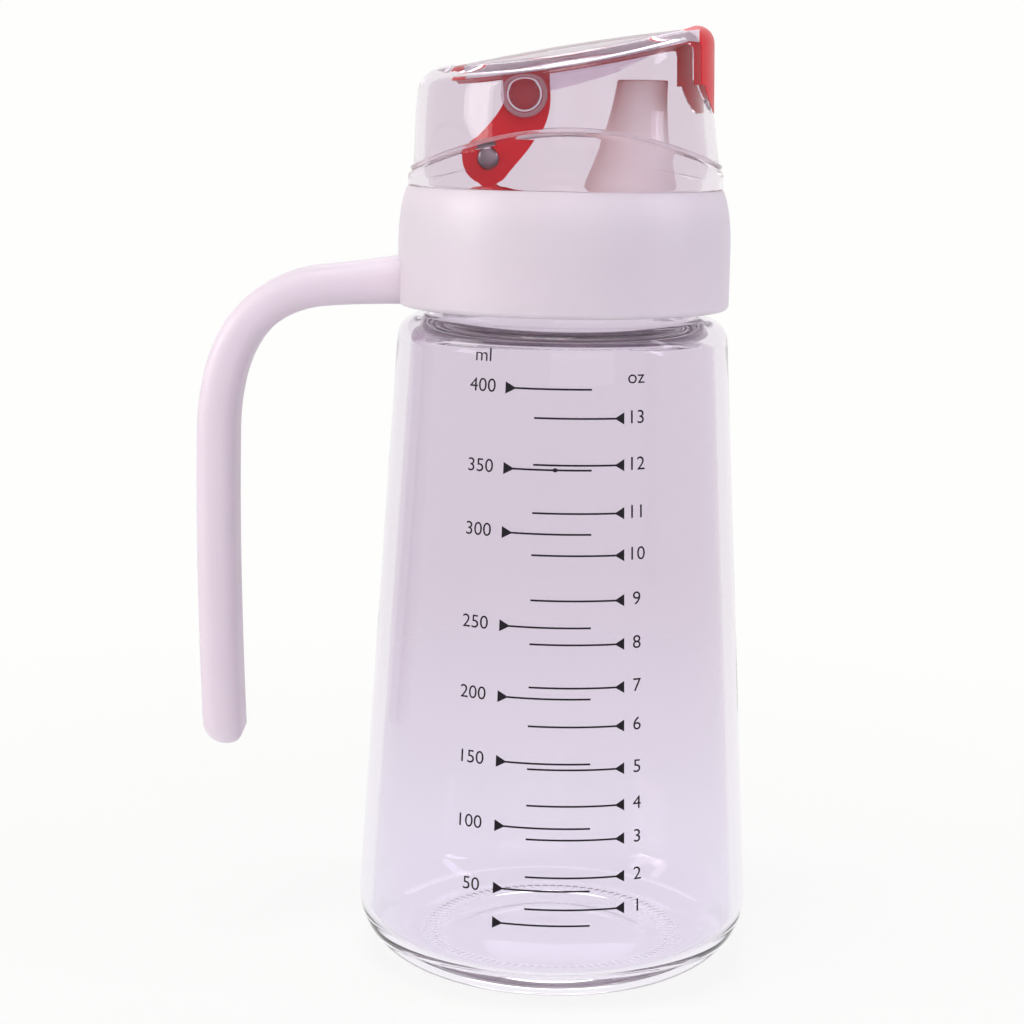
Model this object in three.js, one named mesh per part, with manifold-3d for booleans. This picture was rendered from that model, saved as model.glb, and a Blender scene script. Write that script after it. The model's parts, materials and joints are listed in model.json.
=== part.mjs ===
// A glass oil dispenser bottle with a lid that opens by itself when the bottle is tipped.
// Millimetres, +Z up. The origin is on the table, under the middle of the outer box of the whole bottle.
// Heights are measured from the table, and all other places from the bottle's own upright axis.
// The spout points towards +X, the handle towards -X, and the lid's hinge line runs along Y.

import * as THREE from 'three';
import { mergeVertices } from 'three/addons/utils/BufferGeometryUtils.js';
import Module from 'manifold-3d';

const wasm = await Module();
wasm.setup();

// Smoothness
const aroundSegments = 48;
const smallRoundSegments = 24;
const arcDivisions = 3;
const weldDistance = 1e-4;

// Glass body
const bodyRadius = 39.6;
const bodyHeight = 130.6;
const baseCurve = 13;
const shoulderWidth = 5.7;
const shoulderCurve = 4.2;
const glassWall = 2.6;
const floorThickness = 4;
const pushUpHeight = 1.8;
const pushUpFullness = 0.6;
const standingRingWidth = 3;

// Glass neck and mouth
const mouthRadius = 24;
const neckWall = 3;
const neckFillet = 0.8;
const neckHeight = 2.8;
const finishLip = 1.2;
const finishHeight = 14.1;
const lipRound = 1;

// Clearances
const seatGap = 0.2;
const fitGap = 0.3;
const threadSpace = 1.6;

// Seal ring and pouring insert
const sealThickness = 1.4;
const sealWidth = 3.6;
const insertThickness = 1.4;
const insertRimWidth = 4.3;
const plugWall = 1.2;
const plugDepth = 6;

// Nozzle of the insert
const nozzleHeight = 26;
const nozzleTopRadius = 4.95;
const nozzleFootRadius = 11.5;
const nozzleWaistRadius = 5.7;
const nozzleTopOffset = 14.75;
const nozzleLean = 0.098;
const nozzleWall = 1.1;
const drainRadius = 1.6;
const drainOffset = 17;

// Screw collar
const collarLift = 1.9;
const collarWall = 2.9;
const collarCorner = 1.1;
const collarTaper = 1.65;
const collarTaperDepth = 11.8;
const collarTaperBend = 4;
const collarShelf = 1.4;
const collarShelfReach = 2.4;
const collarRimWidth = 2.25;
const collarRimHeight = 3.5;

// Handle, one moulding with the collar
const handleReach = 72.9;
const handleThickness = 8.8;
const handleWidth = 14.4;
const handleEdgeRound = 3;
const handleEndRound = 3.6;
const handleRootDrop = 14.4;
const handleLength = 74.1;
const handleBendRadius = 24;
const handleRise = THREE.MathUtils.degToRad(3.3);
const handleLean = THREE.MathUtils.degToRad(0.7);

// Clear dome
const domeHeight = 27.9;
const domeWall = 2;
const domeSkirtInset = 0.15;
const domeStepWidth = 1.45;
const domeStepRise = 1.9;
const domeStepHeight = 1.6;
const domeArchRise = 7.4;
const domeFrontRise = 1;
const domeFrontFlare = 1;
const domeWaistRise = 14.2;
const domeTaper = 0.65;
const domeSetback = 0.4;
const domeEdgeRound = 4;
const domeTopSlope = 0.176;
const domeCrownAlong = 387;
const domeCrownAcross = 110;
const spigotWall = 1.6;
const spigotSeat = 0.3;

// Opening of the dome, which the red flap fills
const openingWidth = 28;
const openingRear = 22.3;
const openingRearCorner = 3;
const openingFrontDepth = 13.4;
const openingFrontCorner = 11;

// Hinge: pins on the flap in blind holes in the dome's two ears
const pivotSetback = 8.3;
const pivotDrop = 10.2;
const pivotPinRadius = 2.7;
const pivotBossRadius = 4.4;
const earThickness = 1.8;
const earFace = 0.6;
const earReach = 16.5;
const earNotch = 1.2;
const earNotchRise = 1;
const earSag = 3;
const earSagRise = 5;
const earTipDepth = 2;

// Red flap
const armThickness = 1.9;
const armHeelInset = 0.6;
const armHeelDrop = 1.3;
const armBackDrop = 3.5;
const armBellyInset = 0.5;
const armBellyRise = 0.2;
const armKneeReach = 2.7;
const armKneeDrop = 8.2;
const armFrontReach = 0.5;
const armFrontBulge = 0.7;
const armFrontDrop = 4.4;
const tongueRearReach = 13.8;
const ribDepth = 3.4;
const ribFront = 16;
const ribRamp = 2;

// Counterweight rod across the two arms
const rodSetback = 6.5;
const rodDrop = 12.2;
const rodRadius = 1.95;
const rodOverhang = 0.9;
const rodDomeHeight = 0.7;
const lobeRadius = 4.7;
const lobeStart = 0.65 * Math.PI;
const lobeEnd = 1.72 * Math.PI;

// Overlap of solids that are joined, and how far a cutter reaches past what it cuts
const overlap = 1;
const cutMargin = 5;

// Radii that follow from the mouth outwards
const neckRadius = mouthRadius + neckWall;
const shoulderRadius = neckRadius + shoulderWidth;
const finishRadius = neckRadius + finishLip;
const collarBore = finishRadius + threadSpace;
const collarRadius = collarBore + collarWall;
const collarTopRadius = collarRadius - collarTaper;
const collarSocket = collarTopRadius - collarRimWidth;
const spigotRadius = collarSocket - fitGap;
const domeSkirtRadius = collarTopRadius - domeSkirtInset;
const domeShoulderRadius = domeSkirtRadius - domeStepWidth;
const domeTopRadius = domeShoulderRadius - domeTaper;
const domeCavityRadius = domeShoulderRadius - domeWall;

// Heights that follow from the shoulder upwards
const finishStart = bodyHeight + neckHeight;
const mouthHeight = finishStart + finishHeight;
const sealBottom = mouthHeight + seatGap;
const insertBottom = sealBottom + sealThickness + seatGap;
const insertTop = insertBottom + insertThickness;
const nozzleTop = insertTop + nozzleHeight;
const shelfBottom = insertTop + seatGap;
const shelfTop = shelfBottom + collarShelf;
const collarBottom = bodyHeight + collarLift;
const collarTop = shelfTop + collarRimHeight;
const domeBottom = collarTop + seatGap / 2;
const domeStepStart = collarTop + domeStepRise;
const domeWaist = collarTop + domeWaistRise;
const domeTopHeight = collarTop + domeHeight;
const openingFrontBottom = domeTopHeight - openingFrontDepth;

// Places of the flap's hinge, arms and weight
const halfOpening = openingWidth / 2;
const earOuter = halfOpening + earThickness;
const pinEnd = earOuter - earFace - fitGap;
const armOuter = halfOpening - fitGap;
const armInner = armOuter - armThickness;
const pivotX = -pivotSetback;
const pivotHeight = domeTopHeight - pivotDrop;
const rodX = pivotX - rodSetback;
const rodHeight = pivotHeight - rodDrop;

// From the middle of the outer box to the bottle's axis
const axisX = (handleReach - bodyRadius) / 2;

// Turns a closed three.js geometry into a solid that can be joined and cut.
function toSolid(geometry) {
  const bare = geometry.clone();
  bare.deleteAttribute('normal');
  bare.deleteAttribute('uv');
  const merged = mergeVertices(bare, weldDistance);
  const corners = merged.index.array;
  const triVerts = [];
  for (let i = 0; i < corners.length; i += 3) {
    const [a, b, c] = [corners[i], corners[i + 1], corners[i + 2]];
    if (a !== b && b !== c && c !== a) {
      triVerts.push(a, b, c);
    }
  }
  return new wasm.Manifold(new wasm.Mesh({
    numProp: 3,
    vertProperties: new Float32Array(merged.attributes.position.array),
    triVerts: new Uint32Array(triVerts),
  }));
}

// Turns a solid back into a geometry.
function toGeometry(solid) {
  const mesh = solid.getMesh();
  const geometry = new THREE.BufferGeometry();
  geometry.setAttribute('position', new THREE.BufferAttribute(mesh.vertProperties, 3));
  geometry.setIndex(new THREE.BufferAttribute(mesh.triVerts, 1));
  geometry.computeVertexNormals();
  return geometry;
}

// Revolves an outline of radius and height around the upright axis.
function revolve(outline, segments = aroundSegments) {
  const geometry = new THREE.LatheGeometry(outline.getPoints(arcDivisions), segments);
  return geometry.rotateX(Math.PI / 2);
}

// Extrudes a side outline, drawn in X and Z, from one Y to another.
function sideSlab(outline, fromY, toY) {
  const geometry = new THREE.ExtrudeGeometry(outline, {
    depth: toY - fromY,
    bevelEnabled: false,
    curveSegments: arcDivisions * 2,
  });
  return toSolid(geometry.rotateX(Math.PI / 2).translate(0, toY, 0));
}

// A round bar along Y.
function crossBar(radius, x, z, fromY, toY) {
  const geometry = new THREE.CylinderGeometry(radius, radius, toY - fromY, smallRoundSegments);
  return toSolid(geometry.translate(x, (fromY + toY) / 2, z));
}

function joined(solids) {
  return solids.reduce((whole, next) => whole.add(next));
}

// Runs a maker of a slab once for the near side and once for the far side.
function onBothSides(make, inner, outer) {
  return [make(-outer, -inner), make(inner, outer)];
}

function part(name, geometry, looks) {
  const mesh = new THREE.Mesh(geometry, new THREE.MeshStandardMaterial(looks));
  mesh.name = name;
  return mesh;
}

// Materials as seen on the object
const clearGlass = { color: 0xe6e0ea, roughness: 0.03, metalness: 0, transparent: true, opacity: 0.3 };
const clearPlastic = { color: 0xe2d8e2, roughness: 0.08, metalness: 0, transparent: true, opacity: 0.35 };
const whitePlastic = { color: 0xf2eef0, roughness: 0.35, metalness: 0 };
const milkyPlastic = { color: 0xf0e9e6, roughness: 0.4, metalness: 0 };
const redPlastic = { color: 0xbc2630, roughness: 0.3, metalness: 0 };
const rubber = { color: 0xe9e6e2, roughness: 0.6, metalness: 0 };
const steel = { color: 0x9b969c, roughness: 0.25, metalness: 1 };

// Glass bottle: one blown piece, from the push-up under its floor round to the floor inside.
function glassBottle() {
  const wallRun = bodyHeight - shoulderCurve - baseCurve;
  const lean = Math.atan((bodyRadius - shoulderRadius) / wallRun);
  const footRadius = bodyRadius - baseCurve;
  const shoulderCentre = shoulderRadius - shoulderCurve;
  const shoulderFoot = bodyHeight - shoulderCurve;
  const ringInner = footRadius - standingRingWidth;
  const filletRadius = neckRadius + neckFillet;
  const wallTopRadius = shoulderRadius - glassWall;
  const insideCurve = baseCurve - glassWall;
  const insideFloor = pushUpHeight + floorThickness;
  const insideCorner = insideFloor + insideCurve;
  const insideShoulder = shoulderFoot - glassWall / 2;
  const outline = new THREE.Path();
  outline.moveTo(0, pushUpHeight);
  outline.quadraticCurveTo(ringInner * pushUpFullness, pushUpHeight, ringInner, 0);
  outline.lineTo(footRadius, 0);
  outline.absarc(footRadius, baseCurve, baseCurve, -Math.PI / 2, lean, false);
  outline.absarc(shoulderCentre, shoulderFoot, shoulderCurve, lean, Math.PI / 2, false);
  outline.absarc(filletRadius, bodyHeight + neckFillet, neckFillet, -Math.PI / 2, -Math.PI, true);
  outline.lineTo(neckRadius, finishStart);
  outline.lineTo(finishRadius, finishStart + finishLip);
  outline.absarc(finishRadius - lipRound, mouthHeight - lipRound, lipRound, 0, Math.PI / 2, false);
  outline.absarc(mouthRadius + lipRound, mouthHeight - lipRound, lipRound, Math.PI / 2, Math.PI, false);
  outline.lineTo(mouthRadius, bodyHeight);
  outline.quadraticCurveTo(mouthRadius, insideShoulder, wallTopRadius, insideShoulder - shoulderCurve);
  outline.absarc(footRadius, insideCorner, insideCurve, lean, -Math.PI / 2, true);
  outline.lineTo(0, insideFloor);
  return toSolid(revolve(outline));
}

// Soft ring between the glass mouth and the pouring insert.
function sealRing() {
  const inner = mouthRadius + fitGap;
  const outer = inner + sealWidth;
  const outline = new THREE.Path();
  outline.moveTo(inner, sealBottom);
  outline.lineTo(outer, sealBottom);
  outline.lineTo(outer, sealBottom + sealThickness);
  outline.lineTo(inner, sealBottom + sealThickness);
  outline.lineTo(inner, sealBottom);
  return toSolid(revolve(outline));
}

// A leaning nozzle, as its outside or, with a wall thickness, as its bore.
function nozzleCone(inset, bottom, top) {
  const waistHeight = (insertTop + nozzleTop) / 2;
  const topRadius = nozzleTopRadius - inset;
  const outline = new THREE.Path();
  outline.moveTo(0, bottom);
  outline.lineTo(nozzleFootRadius - inset, bottom);
  outline.lineTo(nozzleFootRadius - inset, insertTop);
  outline.quadraticCurveTo(nozzleWaistRadius - inset, waistHeight, topRadius, nozzleTop);
  outline.lineTo(topRadius, top);
  outline.lineTo(0, top);
  const geometry = revolve(outline, smallRoundSegments);
  const places = geometry.attributes.position;
  for (let i = 0; i < places.count; i++) {
    const drop = nozzleTop - places.getZ(i);
    places.setX(i, places.getX(i) + nozzleTopOffset - nozzleLean * drop);
  }
  return toSolid(geometry);
}

// Pouring insert: a disc with a plug that fits the glass mouth, the nozzle, and a hole that lets drips back.
function pourSpout() {
  const plugRadius = mouthRadius - fitGap;
  const rimRadius = mouthRadius + insertRimWidth;
  const outline = new THREE.Path();
  outline.moveTo(0, insertBottom);
  outline.lineTo(plugRadius - plugWall, insertBottom);
  outline.lineTo(plugRadius - plugWall, insertBottom - plugDepth);
  outline.lineTo(plugRadius, insertBottom - plugDepth);
  outline.lineTo(plugRadius, insertBottom);
  outline.lineTo(rimRadius, insertBottom);
  outline.lineTo(rimRadius, insertTop);
  outline.lineTo(0, insertTop);
  const disc = toSolid(revolve(outline));
  const bore = nozzleCone(nozzleWall, insertBottom - overlap, nozzleTop + overlap);
  const hole = new THREE.CylinderGeometry(drainRadius, drainRadius, 3 * insertThickness, smallRoundSegments);
  hole.rotateX(Math.PI / 2).translate(-drainOffset, 0, (insertBottom + insertTop) / 2);
  return disc.add(nozzleCone(0, insertBottom, nozzleTop)).subtract(bore).subtract(toSolid(hole));
}

// Side outline of the handle: out from the collar, round a bend, and down as an open grip.
function handleOutline() {
  const quarter = Math.PI / 2;
  const centreX = handleBendRadius - handleReach;
  const rootX = -(collarBore + collarRadius) / 2;
  const rootTop = collarTop - handleRootDrop;
  const centreHeight = rootTop - (rootX - centreX) * Math.tan(handleRise) - handleBendRadius;
  const endHeight = centreHeight - handleLength;
  const innerRadius = handleBendRadius - handleThickness;
  const outerEnd = handleLength * Math.tan(handleLean) - handleReach;
  const innerEnd = outerEnd + handleThickness;
  const roundHeight = endHeight + handleEndRound;
  const bendStart = quarter + handleRise;
  const bendEnd = 2 * quarter + handleLean;
  const round = handleEndRound;
  const outline = new THREE.Shape();
  outline.moveTo(rootX, rootTop - handleThickness);
  outline.lineTo(rootX, rootTop);
  outline.absarc(centreX, centreHeight, handleBendRadius, bendStart, bendEnd, false);
  outline.absarc(outerEnd + round, roundHeight, round, 2 * quarter, 3 * quarter, false);
  outline.absarc(innerEnd - round, roundHeight, round, -quarter, 0, false);
  outline.absarc(centreX, centreHeight, innerRadius, bendEnd, bendStart, true);
  return outline;
}

// Screw collar with its handle: a threaded ring, a shelf that holds the insert down, and a rim for the dome.
function collarWithHandle() {
  const cornerRadius = collarRadius - collarCorner;
  const outline = new THREE.Path();
  outline.moveTo(collarBore, collarBottom);
  outline.lineTo(cornerRadius, collarBottom);
  outline.absarc(cornerRadius, collarBottom + collarCorner, collarCorner, -Math.PI / 2, 0, false);
  outline.lineTo(collarRadius, collarTop - collarTaperDepth);
  outline.quadraticCurveTo(collarRadius, collarTop - collarTaperBend, collarTopRadius, collarTop);
  outline.lineTo(collarSocket, collarTop);
  outline.lineTo(collarSocket, shelfTop);
  outline.lineTo(collarSocket - collarShelfReach, shelfTop);
  outline.lineTo(collarSocket - collarShelfReach, shelfBottom);
  outline.lineTo(collarBore, shelfBottom);
  outline.lineTo(collarBore, collarBottom);
  const handle = new THREE.ExtrudeGeometry(handleOutline(), {
    depth: handleWidth - 2 * handleEdgeRound,
    bevelThickness: handleEdgeRound,
    bevelSize: handleEdgeRound,
    bevelOffset: -handleEdgeRound,
    bevelSegments: arcDivisions,
    curveSegments: arcDivisions * 4,
  });
  handle.rotateX(Math.PI / 2).translate(0, handleWidth / 2 - handleEdgeRound, 0);
  return toSolid(revolve(outline)).add(toSolid(handle));
}

// Height of the dome's sloping, gently crowned top above a point of the plan.
function domeTop(x, y) {
  const crown = (x * x) / (2 * domeCrownAlong) + (y * y) / (2 * domeCrownAcross);
  return domeTopHeight + domeTopSlope * x - crown;
}

// The dome as a full body, smaller all round by the inset. Its wall stays upright, its step is arched over
// the sides, and its top slopes up towards the spout.
function domeBody(inset, bottom, footRadius) {
  const fillet = domeEdgeRound - inset;
  const topRadius = domeTopRadius - inset;
  const stepTop = domeStepStart + domeStepHeight;
  const filletStart = domeTopHeight - domeEdgeRound;
  const outline = new THREE.Path();
  outline.moveTo(0, bottom);
  outline.lineTo(footRadius, bottom);
  outline.lineTo(footRadius, domeStepStart);
  outline.lineTo(domeShoulderRadius - inset, stepTop);
  outline.lineTo((domeShoulderRadius + domeTopRadius) / 2 - inset, domeWaist);
  outline.absarc(topRadius - fillet, filletStart, fillet, 0, Math.PI / 2, false);
  for (const share of [0.75, 0.5, 0.25, 0]) {
    outline.lineTo((topRadius - fillet) * share, domeTopHeight - inset);
  }
  const geometry = revolve(outline);
  const places = geometry.attributes.position;
  for (let i = 0; i < places.count; i++) {
    const x = places.getX(i);
    const y = places.getY(i);
    const z = places.getZ(i);
    const radius = Math.hypot(x, y) || 1;
    const ahead = Math.max(0, x / radius);
    const belowStep = z < domeStepStart - weldDistance;
    const aboveFoot = z > domeStepStart + weldDistance;
    const onStep = !belowStep && z < stepTop + weldDistance;
    const arch = domeArchRise * (y / radius) ** 2 + domeFrontRise * (1 + x / radius) / 2;
    const slopeShare = THREE.MathUtils.clamp((z - domeWaist) / (filletStart - domeWaist), 0, 1);
    const flare = onStep && aboveFoot ? domeFrontFlare * ahead : 0;
    const shift = aboveFoot ? -domeSetback : 0;
    const grow = 1 + flare / radius;
    const height = z + (onStep ? arch : 0) + slopeShare * (domeTop(x, y) - domeTopHeight);
    places.setXYZ(i, x * grow + shift, y * grow, height);
  }
  return toSolid(geometry);
}

// The space of the dome's opening, made smaller by a gap for the flap that fills it: a slot along the top
// that runs into a rounded window in the front wall.
function openingSpace(gap) {
  const half = halfOpening - gap;
  const rear = gap - openingRear;
  const front = domeSkirtRadius + cutMargin;
  const corner = openingRearCorner;
  const slot = new THREE.Shape();
  slot.moveTo(front, -half);
  slot.lineTo(front, half);
  slot.absarc(rear + corner, half - corner, corner, Math.PI / 2, Math.PI, false);
  slot.absarc(rear + corner, corner - half, corner, Math.PI, 1.5 * Math.PI, false);
  const slotBottom = openingFrontBottom + openingFrontCorner / 2;
  const aboveDome = domeTop(front, 0) + cutMargin;
  const slotSolid = new THREE.ExtrudeGeometry(slot, {
    depth: aboveDome - slotBottom,
    bevelEnabled: false,
    curveSegments: arcDivisions,
  });
  slotSolid.translate(0, 0, slotBottom);
  const bottom = openingFrontBottom + gap;
  const round = openingFrontCorner - gap;
  const window = new THREE.Shape();
  window.moveTo(half, aboveDome);
  window.lineTo(-half, aboveDome);
  window.absarc(round - half, bottom + round, round, Math.PI, 1.5 * Math.PI, false);
  window.absarc(half - round, bottom + round, round, 1.5 * Math.PI, 2 * Math.PI, false);
  const windowStart = domeTopRadius - halfOpening;
  const windowSolid = new THREE.ExtrudeGeometry(window, {
    depth: front - windowStart,
    bevelEnabled: false,
    curveSegments: arcDivisions * 3,
  });
  windowSolid.rotateX(Math.PI / 2).rotateZ(Math.PI / 2).translate(windowStart, 0, 0);
  return toSolid(slotSolid).add(toSolid(windowSolid));
}

// Side outline of an ear: a round boss at the hinge that runs up into the dome's top plate.
function earOutline() {
  const left = pivotX - pivotBossRadius;
  const topLeft = domeTop(left, halfOpening) - domeWall / 2;
  const topRight = domeTop(earReach, halfOpening) - domeWall / 2;
  const right = pivotX + pivotBossRadius;
  const notchHeight = pivotHeight + earNotchRise;
  const outline = new THREE.Shape();
  outline.moveTo(earReach, topRight);
  outline.lineTo(left, topLeft);
  outline.absarc(pivotX, pivotHeight, pivotBossRadius, Math.PI, 2 * Math.PI, false);
  outline.quadraticCurveTo(right, notchHeight, right + earNotch, notchHeight);
  outline.quadraticCurveTo(earReach - earSag, pivotHeight + earSagRise, earReach, topRight - earTipDepth);
  return outline;
}

// The closed cover, before its opening is cut out.
function domeShell() {
  const outside = domeBody(0, domeBottom, domeSkirtRadius);
  const inside = domeBody(domeWall, domeBottom - cutMargin, domeCavityRadius);
  return outside.subtract(inside);
}

// Clear dome: the cover with its opening, two ears for the hinge, and a spigot that plugs into the collar.
function clearDome(shell) {
  const spigotInner = spigotRadius - spigotWall;
  const skirtMiddle = domeCavityRadius + domeWall / 2;
  const outline = new THREE.Path();
  outline.moveTo(spigotInner, shelfTop + spigotSeat);
  outline.lineTo(spigotRadius, shelfTop + spigotSeat);
  outline.lineTo(spigotRadius, domeBottom);
  outline.lineTo(skirtMiddle, domeBottom);
  outline.lineTo(skirtMiddle, domeBottom + overlap);
  outline.lineTo(spigotInner, domeBottom + overlap);
  outline.lineTo(spigotInner, shelfTop + spigotSeat);
  const ear = (from, to) => sideSlab(earOutline(), from, to);
  const ears = onBothSides(ear, halfOpening, earOuter);
  const boreEnd = earOuter - earFace;
  const bore = crossBar(pivotPinRadius + fitGap, pivotX, pivotHeight, -boreEnd, boreEnd);
  return joined([shell.subtract(openingSpace(0)), toSolid(revolve(outline)), ...ears]).subtract(bore);
}

// Side outline of an arm: down from the tongue past the hinge, then back to the lobe with the weight.
function armOutline() {
  const left = pivotX - pivotBossRadius;
  const right = pivotX + pivotBossRadius;
  const lobeStartX = rodX + lobeRadius * Math.cos(lobeStart);
  const lobeStartHeight = rodHeight + lobeRadius * Math.sin(lobeStart);
  const kneeX = pivotX + armKneeReach;
  const kneeHeight = pivotHeight - armKneeDrop;
  const frontHeight = pivotHeight - armFrontDrop;
  const outline = new THREE.Shape();
  outline.moveTo(right, domeTop(right, armOuter) - domeWall / 2);
  outline.lineTo(left, domeTop(left, armOuter) - domeWall / 2);
  outline.lineTo(left + armHeelInset, pivotHeight - armHeelDrop);
  outline.quadraticCurveTo(left, pivotHeight - armBackDrop, lobeStartX, lobeStartHeight);
  outline.absarc(rodX, rodHeight, lobeRadius, lobeStart, lobeEnd, false);
  outline.quadraticCurveTo(pivotX - armBellyInset, rodHeight + armBellyRise, kneeX, kneeHeight);
  outline.quadraticCurveTo(right + armFrontBulge, frontHeight, right + armFrontReach, pivotHeight);
  return outline;
}

// Side outline of the stiffening rib that runs along each edge of the tongue.
function ribOutline() {
  const rear = openingRearCorner + fitGap - openingRear;
  const under = (x, depth) => domeTop(x, armOuter) - depth;
  const rampEnd = ribFront - ribRamp;
  const outline = new THREE.Shape();
  outline.moveTo(rear, under(rear, domeWall / 2));
  outline.lineTo(rear, under(rear, domeWall));
  outline.lineTo(rear + ribRamp / 2, under(rear, ribDepth));
  outline.lineTo(rampEnd, under(rampEnd, ribDepth));
  outline.lineTo(ribFront, under(ribFront, domeWall));
  outline.lineTo(ribFront, under(ribFront, domeWall / 2));
  return outline;
}

// Red flap: one moulding with the tongue and visor that close the dome, two arms, and the hinge pins.
function redFlap(shell) {
  const plate = shell.intersect(openingSpace(fitGap));
  const reach = 2 * domeSkirtRadius;
  const rearTrim = crossBar(tongueRearReach, pivotX, pivotHeight, -openingWidth, openingWidth);
  const ahead = new THREE.BoxGeometry(2 * reach, 2 * openingWidth, 2 * reach);
  ahead.translate(pivotX + reach, 0, domeTopHeight);
  const cover = plate.intersect(rearTrim.add(toSolid(ahead)));
  const arm = (from, to) => sideSlab(armOutline(), from, to);
  const rib = (from, to) => sideSlab(ribOutline(), from, to);
  const pin = (from, to) => crossBar(pivotPinRadius, pivotX, pivotHeight, from, to);
  const arms = onBothSides(arm, armInner, armOuter);
  const ribs = onBothSides(rib, armInner, armOuter);
  const pins = onBothSides(pin, armInner, pinEnd);
  const rodHole = crossBar(rodRadius + fitGap, rodX, rodHeight, -openingWidth, openingWidth);
  return joined([cover, ...arms, ...ribs, ...pins]).subtract(rodHole);
}

// Steel rod across the arms, with gently domed ends.
function counterweightRod() {
  const half = armOuter + rodOverhang;
  const outline = new THREE.Path();
  outline.moveTo(0, -half);
  outline.quadraticCurveTo(rodRadius, -half, rodRadius, rodDomeHeight - half);
  outline.lineTo(rodRadius, half - rodDomeHeight);
  outline.quadraticCurveTo(rodRadius, half, 0, half);
  const geometry = new THREE.LatheGeometry(outline.getPoints(arcDivisions), smallRoundSegments);
  return toSolid(geometry.translate(rodX, 0, rodHeight));
}

const shell = domeShell();
const bottle = new THREE.Group();
bottle.position.x = axisX;
bottle.add(
  part('glass_bottle', toGeometry(glassBottle()), clearGlass),
  part('seal_ring', toGeometry(sealRing()), rubber),
  part('pour_spout', toGeometry(pourSpout()), milkyPlastic),
  part('collar_with_handle', toGeometry(collarWithHandle()), whitePlastic),
  part('clear_dome', toGeometry(clearDome(shell)), clearPlastic),
  part('red_flap', toGeometry(redFlap(shell)), redPlastic),
  part('counterweight_rod', toGeometry(counterweightRod()), steel),
);

const dispenser = new THREE.Group();
dispenser.name = 'oil_dispenser';
dispenser.add(bottle);

export default dispenser;
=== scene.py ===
"""Looks of a glass oil dispenser bottle whose weighted flap opens when it is tipped.

Metres, +Z up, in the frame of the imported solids. Heights are measured from the table. Shapes are drawn
around the bottle's own upright axis and then moved to AXIS_X. The spout points to +X, the handle to -X,
and the printed scale faces -Y.
"""

import json
import math

import bmesh
import bpy
from bpy.props import FloatProperty, FloatVectorProperty, IntProperty, PointerProperty
from mathutils import Matrix, Vector


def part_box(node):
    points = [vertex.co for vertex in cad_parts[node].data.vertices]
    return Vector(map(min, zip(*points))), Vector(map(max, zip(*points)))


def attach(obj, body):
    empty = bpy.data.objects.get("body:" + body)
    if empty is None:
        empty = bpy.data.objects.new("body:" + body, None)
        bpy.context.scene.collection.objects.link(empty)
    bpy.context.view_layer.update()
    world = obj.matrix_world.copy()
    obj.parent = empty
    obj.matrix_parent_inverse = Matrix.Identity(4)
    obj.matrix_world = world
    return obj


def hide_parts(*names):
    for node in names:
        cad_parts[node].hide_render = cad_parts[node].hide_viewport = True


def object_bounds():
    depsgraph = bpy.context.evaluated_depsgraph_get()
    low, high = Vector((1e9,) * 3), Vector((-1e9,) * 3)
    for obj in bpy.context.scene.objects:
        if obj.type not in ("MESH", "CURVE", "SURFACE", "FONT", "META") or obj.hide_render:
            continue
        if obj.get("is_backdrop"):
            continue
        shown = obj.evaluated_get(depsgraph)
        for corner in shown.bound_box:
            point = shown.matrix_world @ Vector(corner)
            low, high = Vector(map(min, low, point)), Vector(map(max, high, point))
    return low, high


bl_info = {
    "name": "Glass oil dispenser bottle",
    "version": (1, 0, 0),
    "blender": (4, 5, 0),
    "location": "3D View > Sidebar > Dispenser",
    "description": "Builds a glass oil bottle with its screw collar, handle, clear cover and red flap",
    "category": "Add Mesh",
}

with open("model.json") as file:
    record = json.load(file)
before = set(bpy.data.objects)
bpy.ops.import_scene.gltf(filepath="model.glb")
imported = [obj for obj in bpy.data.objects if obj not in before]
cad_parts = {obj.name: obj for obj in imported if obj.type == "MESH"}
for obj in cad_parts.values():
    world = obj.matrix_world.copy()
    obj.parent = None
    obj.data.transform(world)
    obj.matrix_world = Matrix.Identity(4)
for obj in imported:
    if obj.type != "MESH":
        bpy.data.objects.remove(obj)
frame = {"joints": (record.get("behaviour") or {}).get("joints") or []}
cad_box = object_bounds()


def mm(value):
    """Millimetres as metres."""
    return value / 1000


def linear(hex_colour):
    """An sRGB hex colour as linear red, green and blue."""
    channels = [int(hex_colour[i : i + 2], 16) / 255 for i in (1, 3, 5)]
    return tuple(c / 12.92 if c <= 0.04045 else ((c + 0.055) / 1.055) ** 2.4 for c in channels)


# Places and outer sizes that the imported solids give
joint_place = {joint["name"]: joint.get("pos_m") for joint in frame["joints"]}
AXIS_X = joint_place["cap_turn"][0]
PIVOT_X = joint_place["flap_pivot"][0] - AXIS_X
PIVOT_Z = joint_place["flap_pivot"][2]
BODY_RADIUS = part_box("glass_bottle")[1].y
MOUTH_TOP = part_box("glass_bottle")[1].z
SEAL_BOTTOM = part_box("seal_ring")[0].z
SEAL_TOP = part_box("seal_ring")[1].z
PLUG_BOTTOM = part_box("pour_spout")[0].z
NOZZLE_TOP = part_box("pour_spout")[1].z
COLLAR_BOTTOM = mm(132.5)
COLLAR_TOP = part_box("collar_with_handle")[1].z
COLLAR_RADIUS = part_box("collar_with_handle")[1].y
HANDLE_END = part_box("collar_with_handle")[0].z
SPIGOT_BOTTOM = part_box("clear_dome")[0].z
DOME_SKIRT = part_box("clear_dome")[1].y
ARM_OUTER = mm(13.7)
rod_low, rod_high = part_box("counterweight_rod")
ROD_HALF = rod_high.y
ROD_X = (rod_low.x + rod_high.x) / 2 - AXIS_X
ROD_Z = (rod_low.z + rod_high.z) / 2
ROD_RADIUS = (rod_high.z - rod_low.z) / 2

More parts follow.
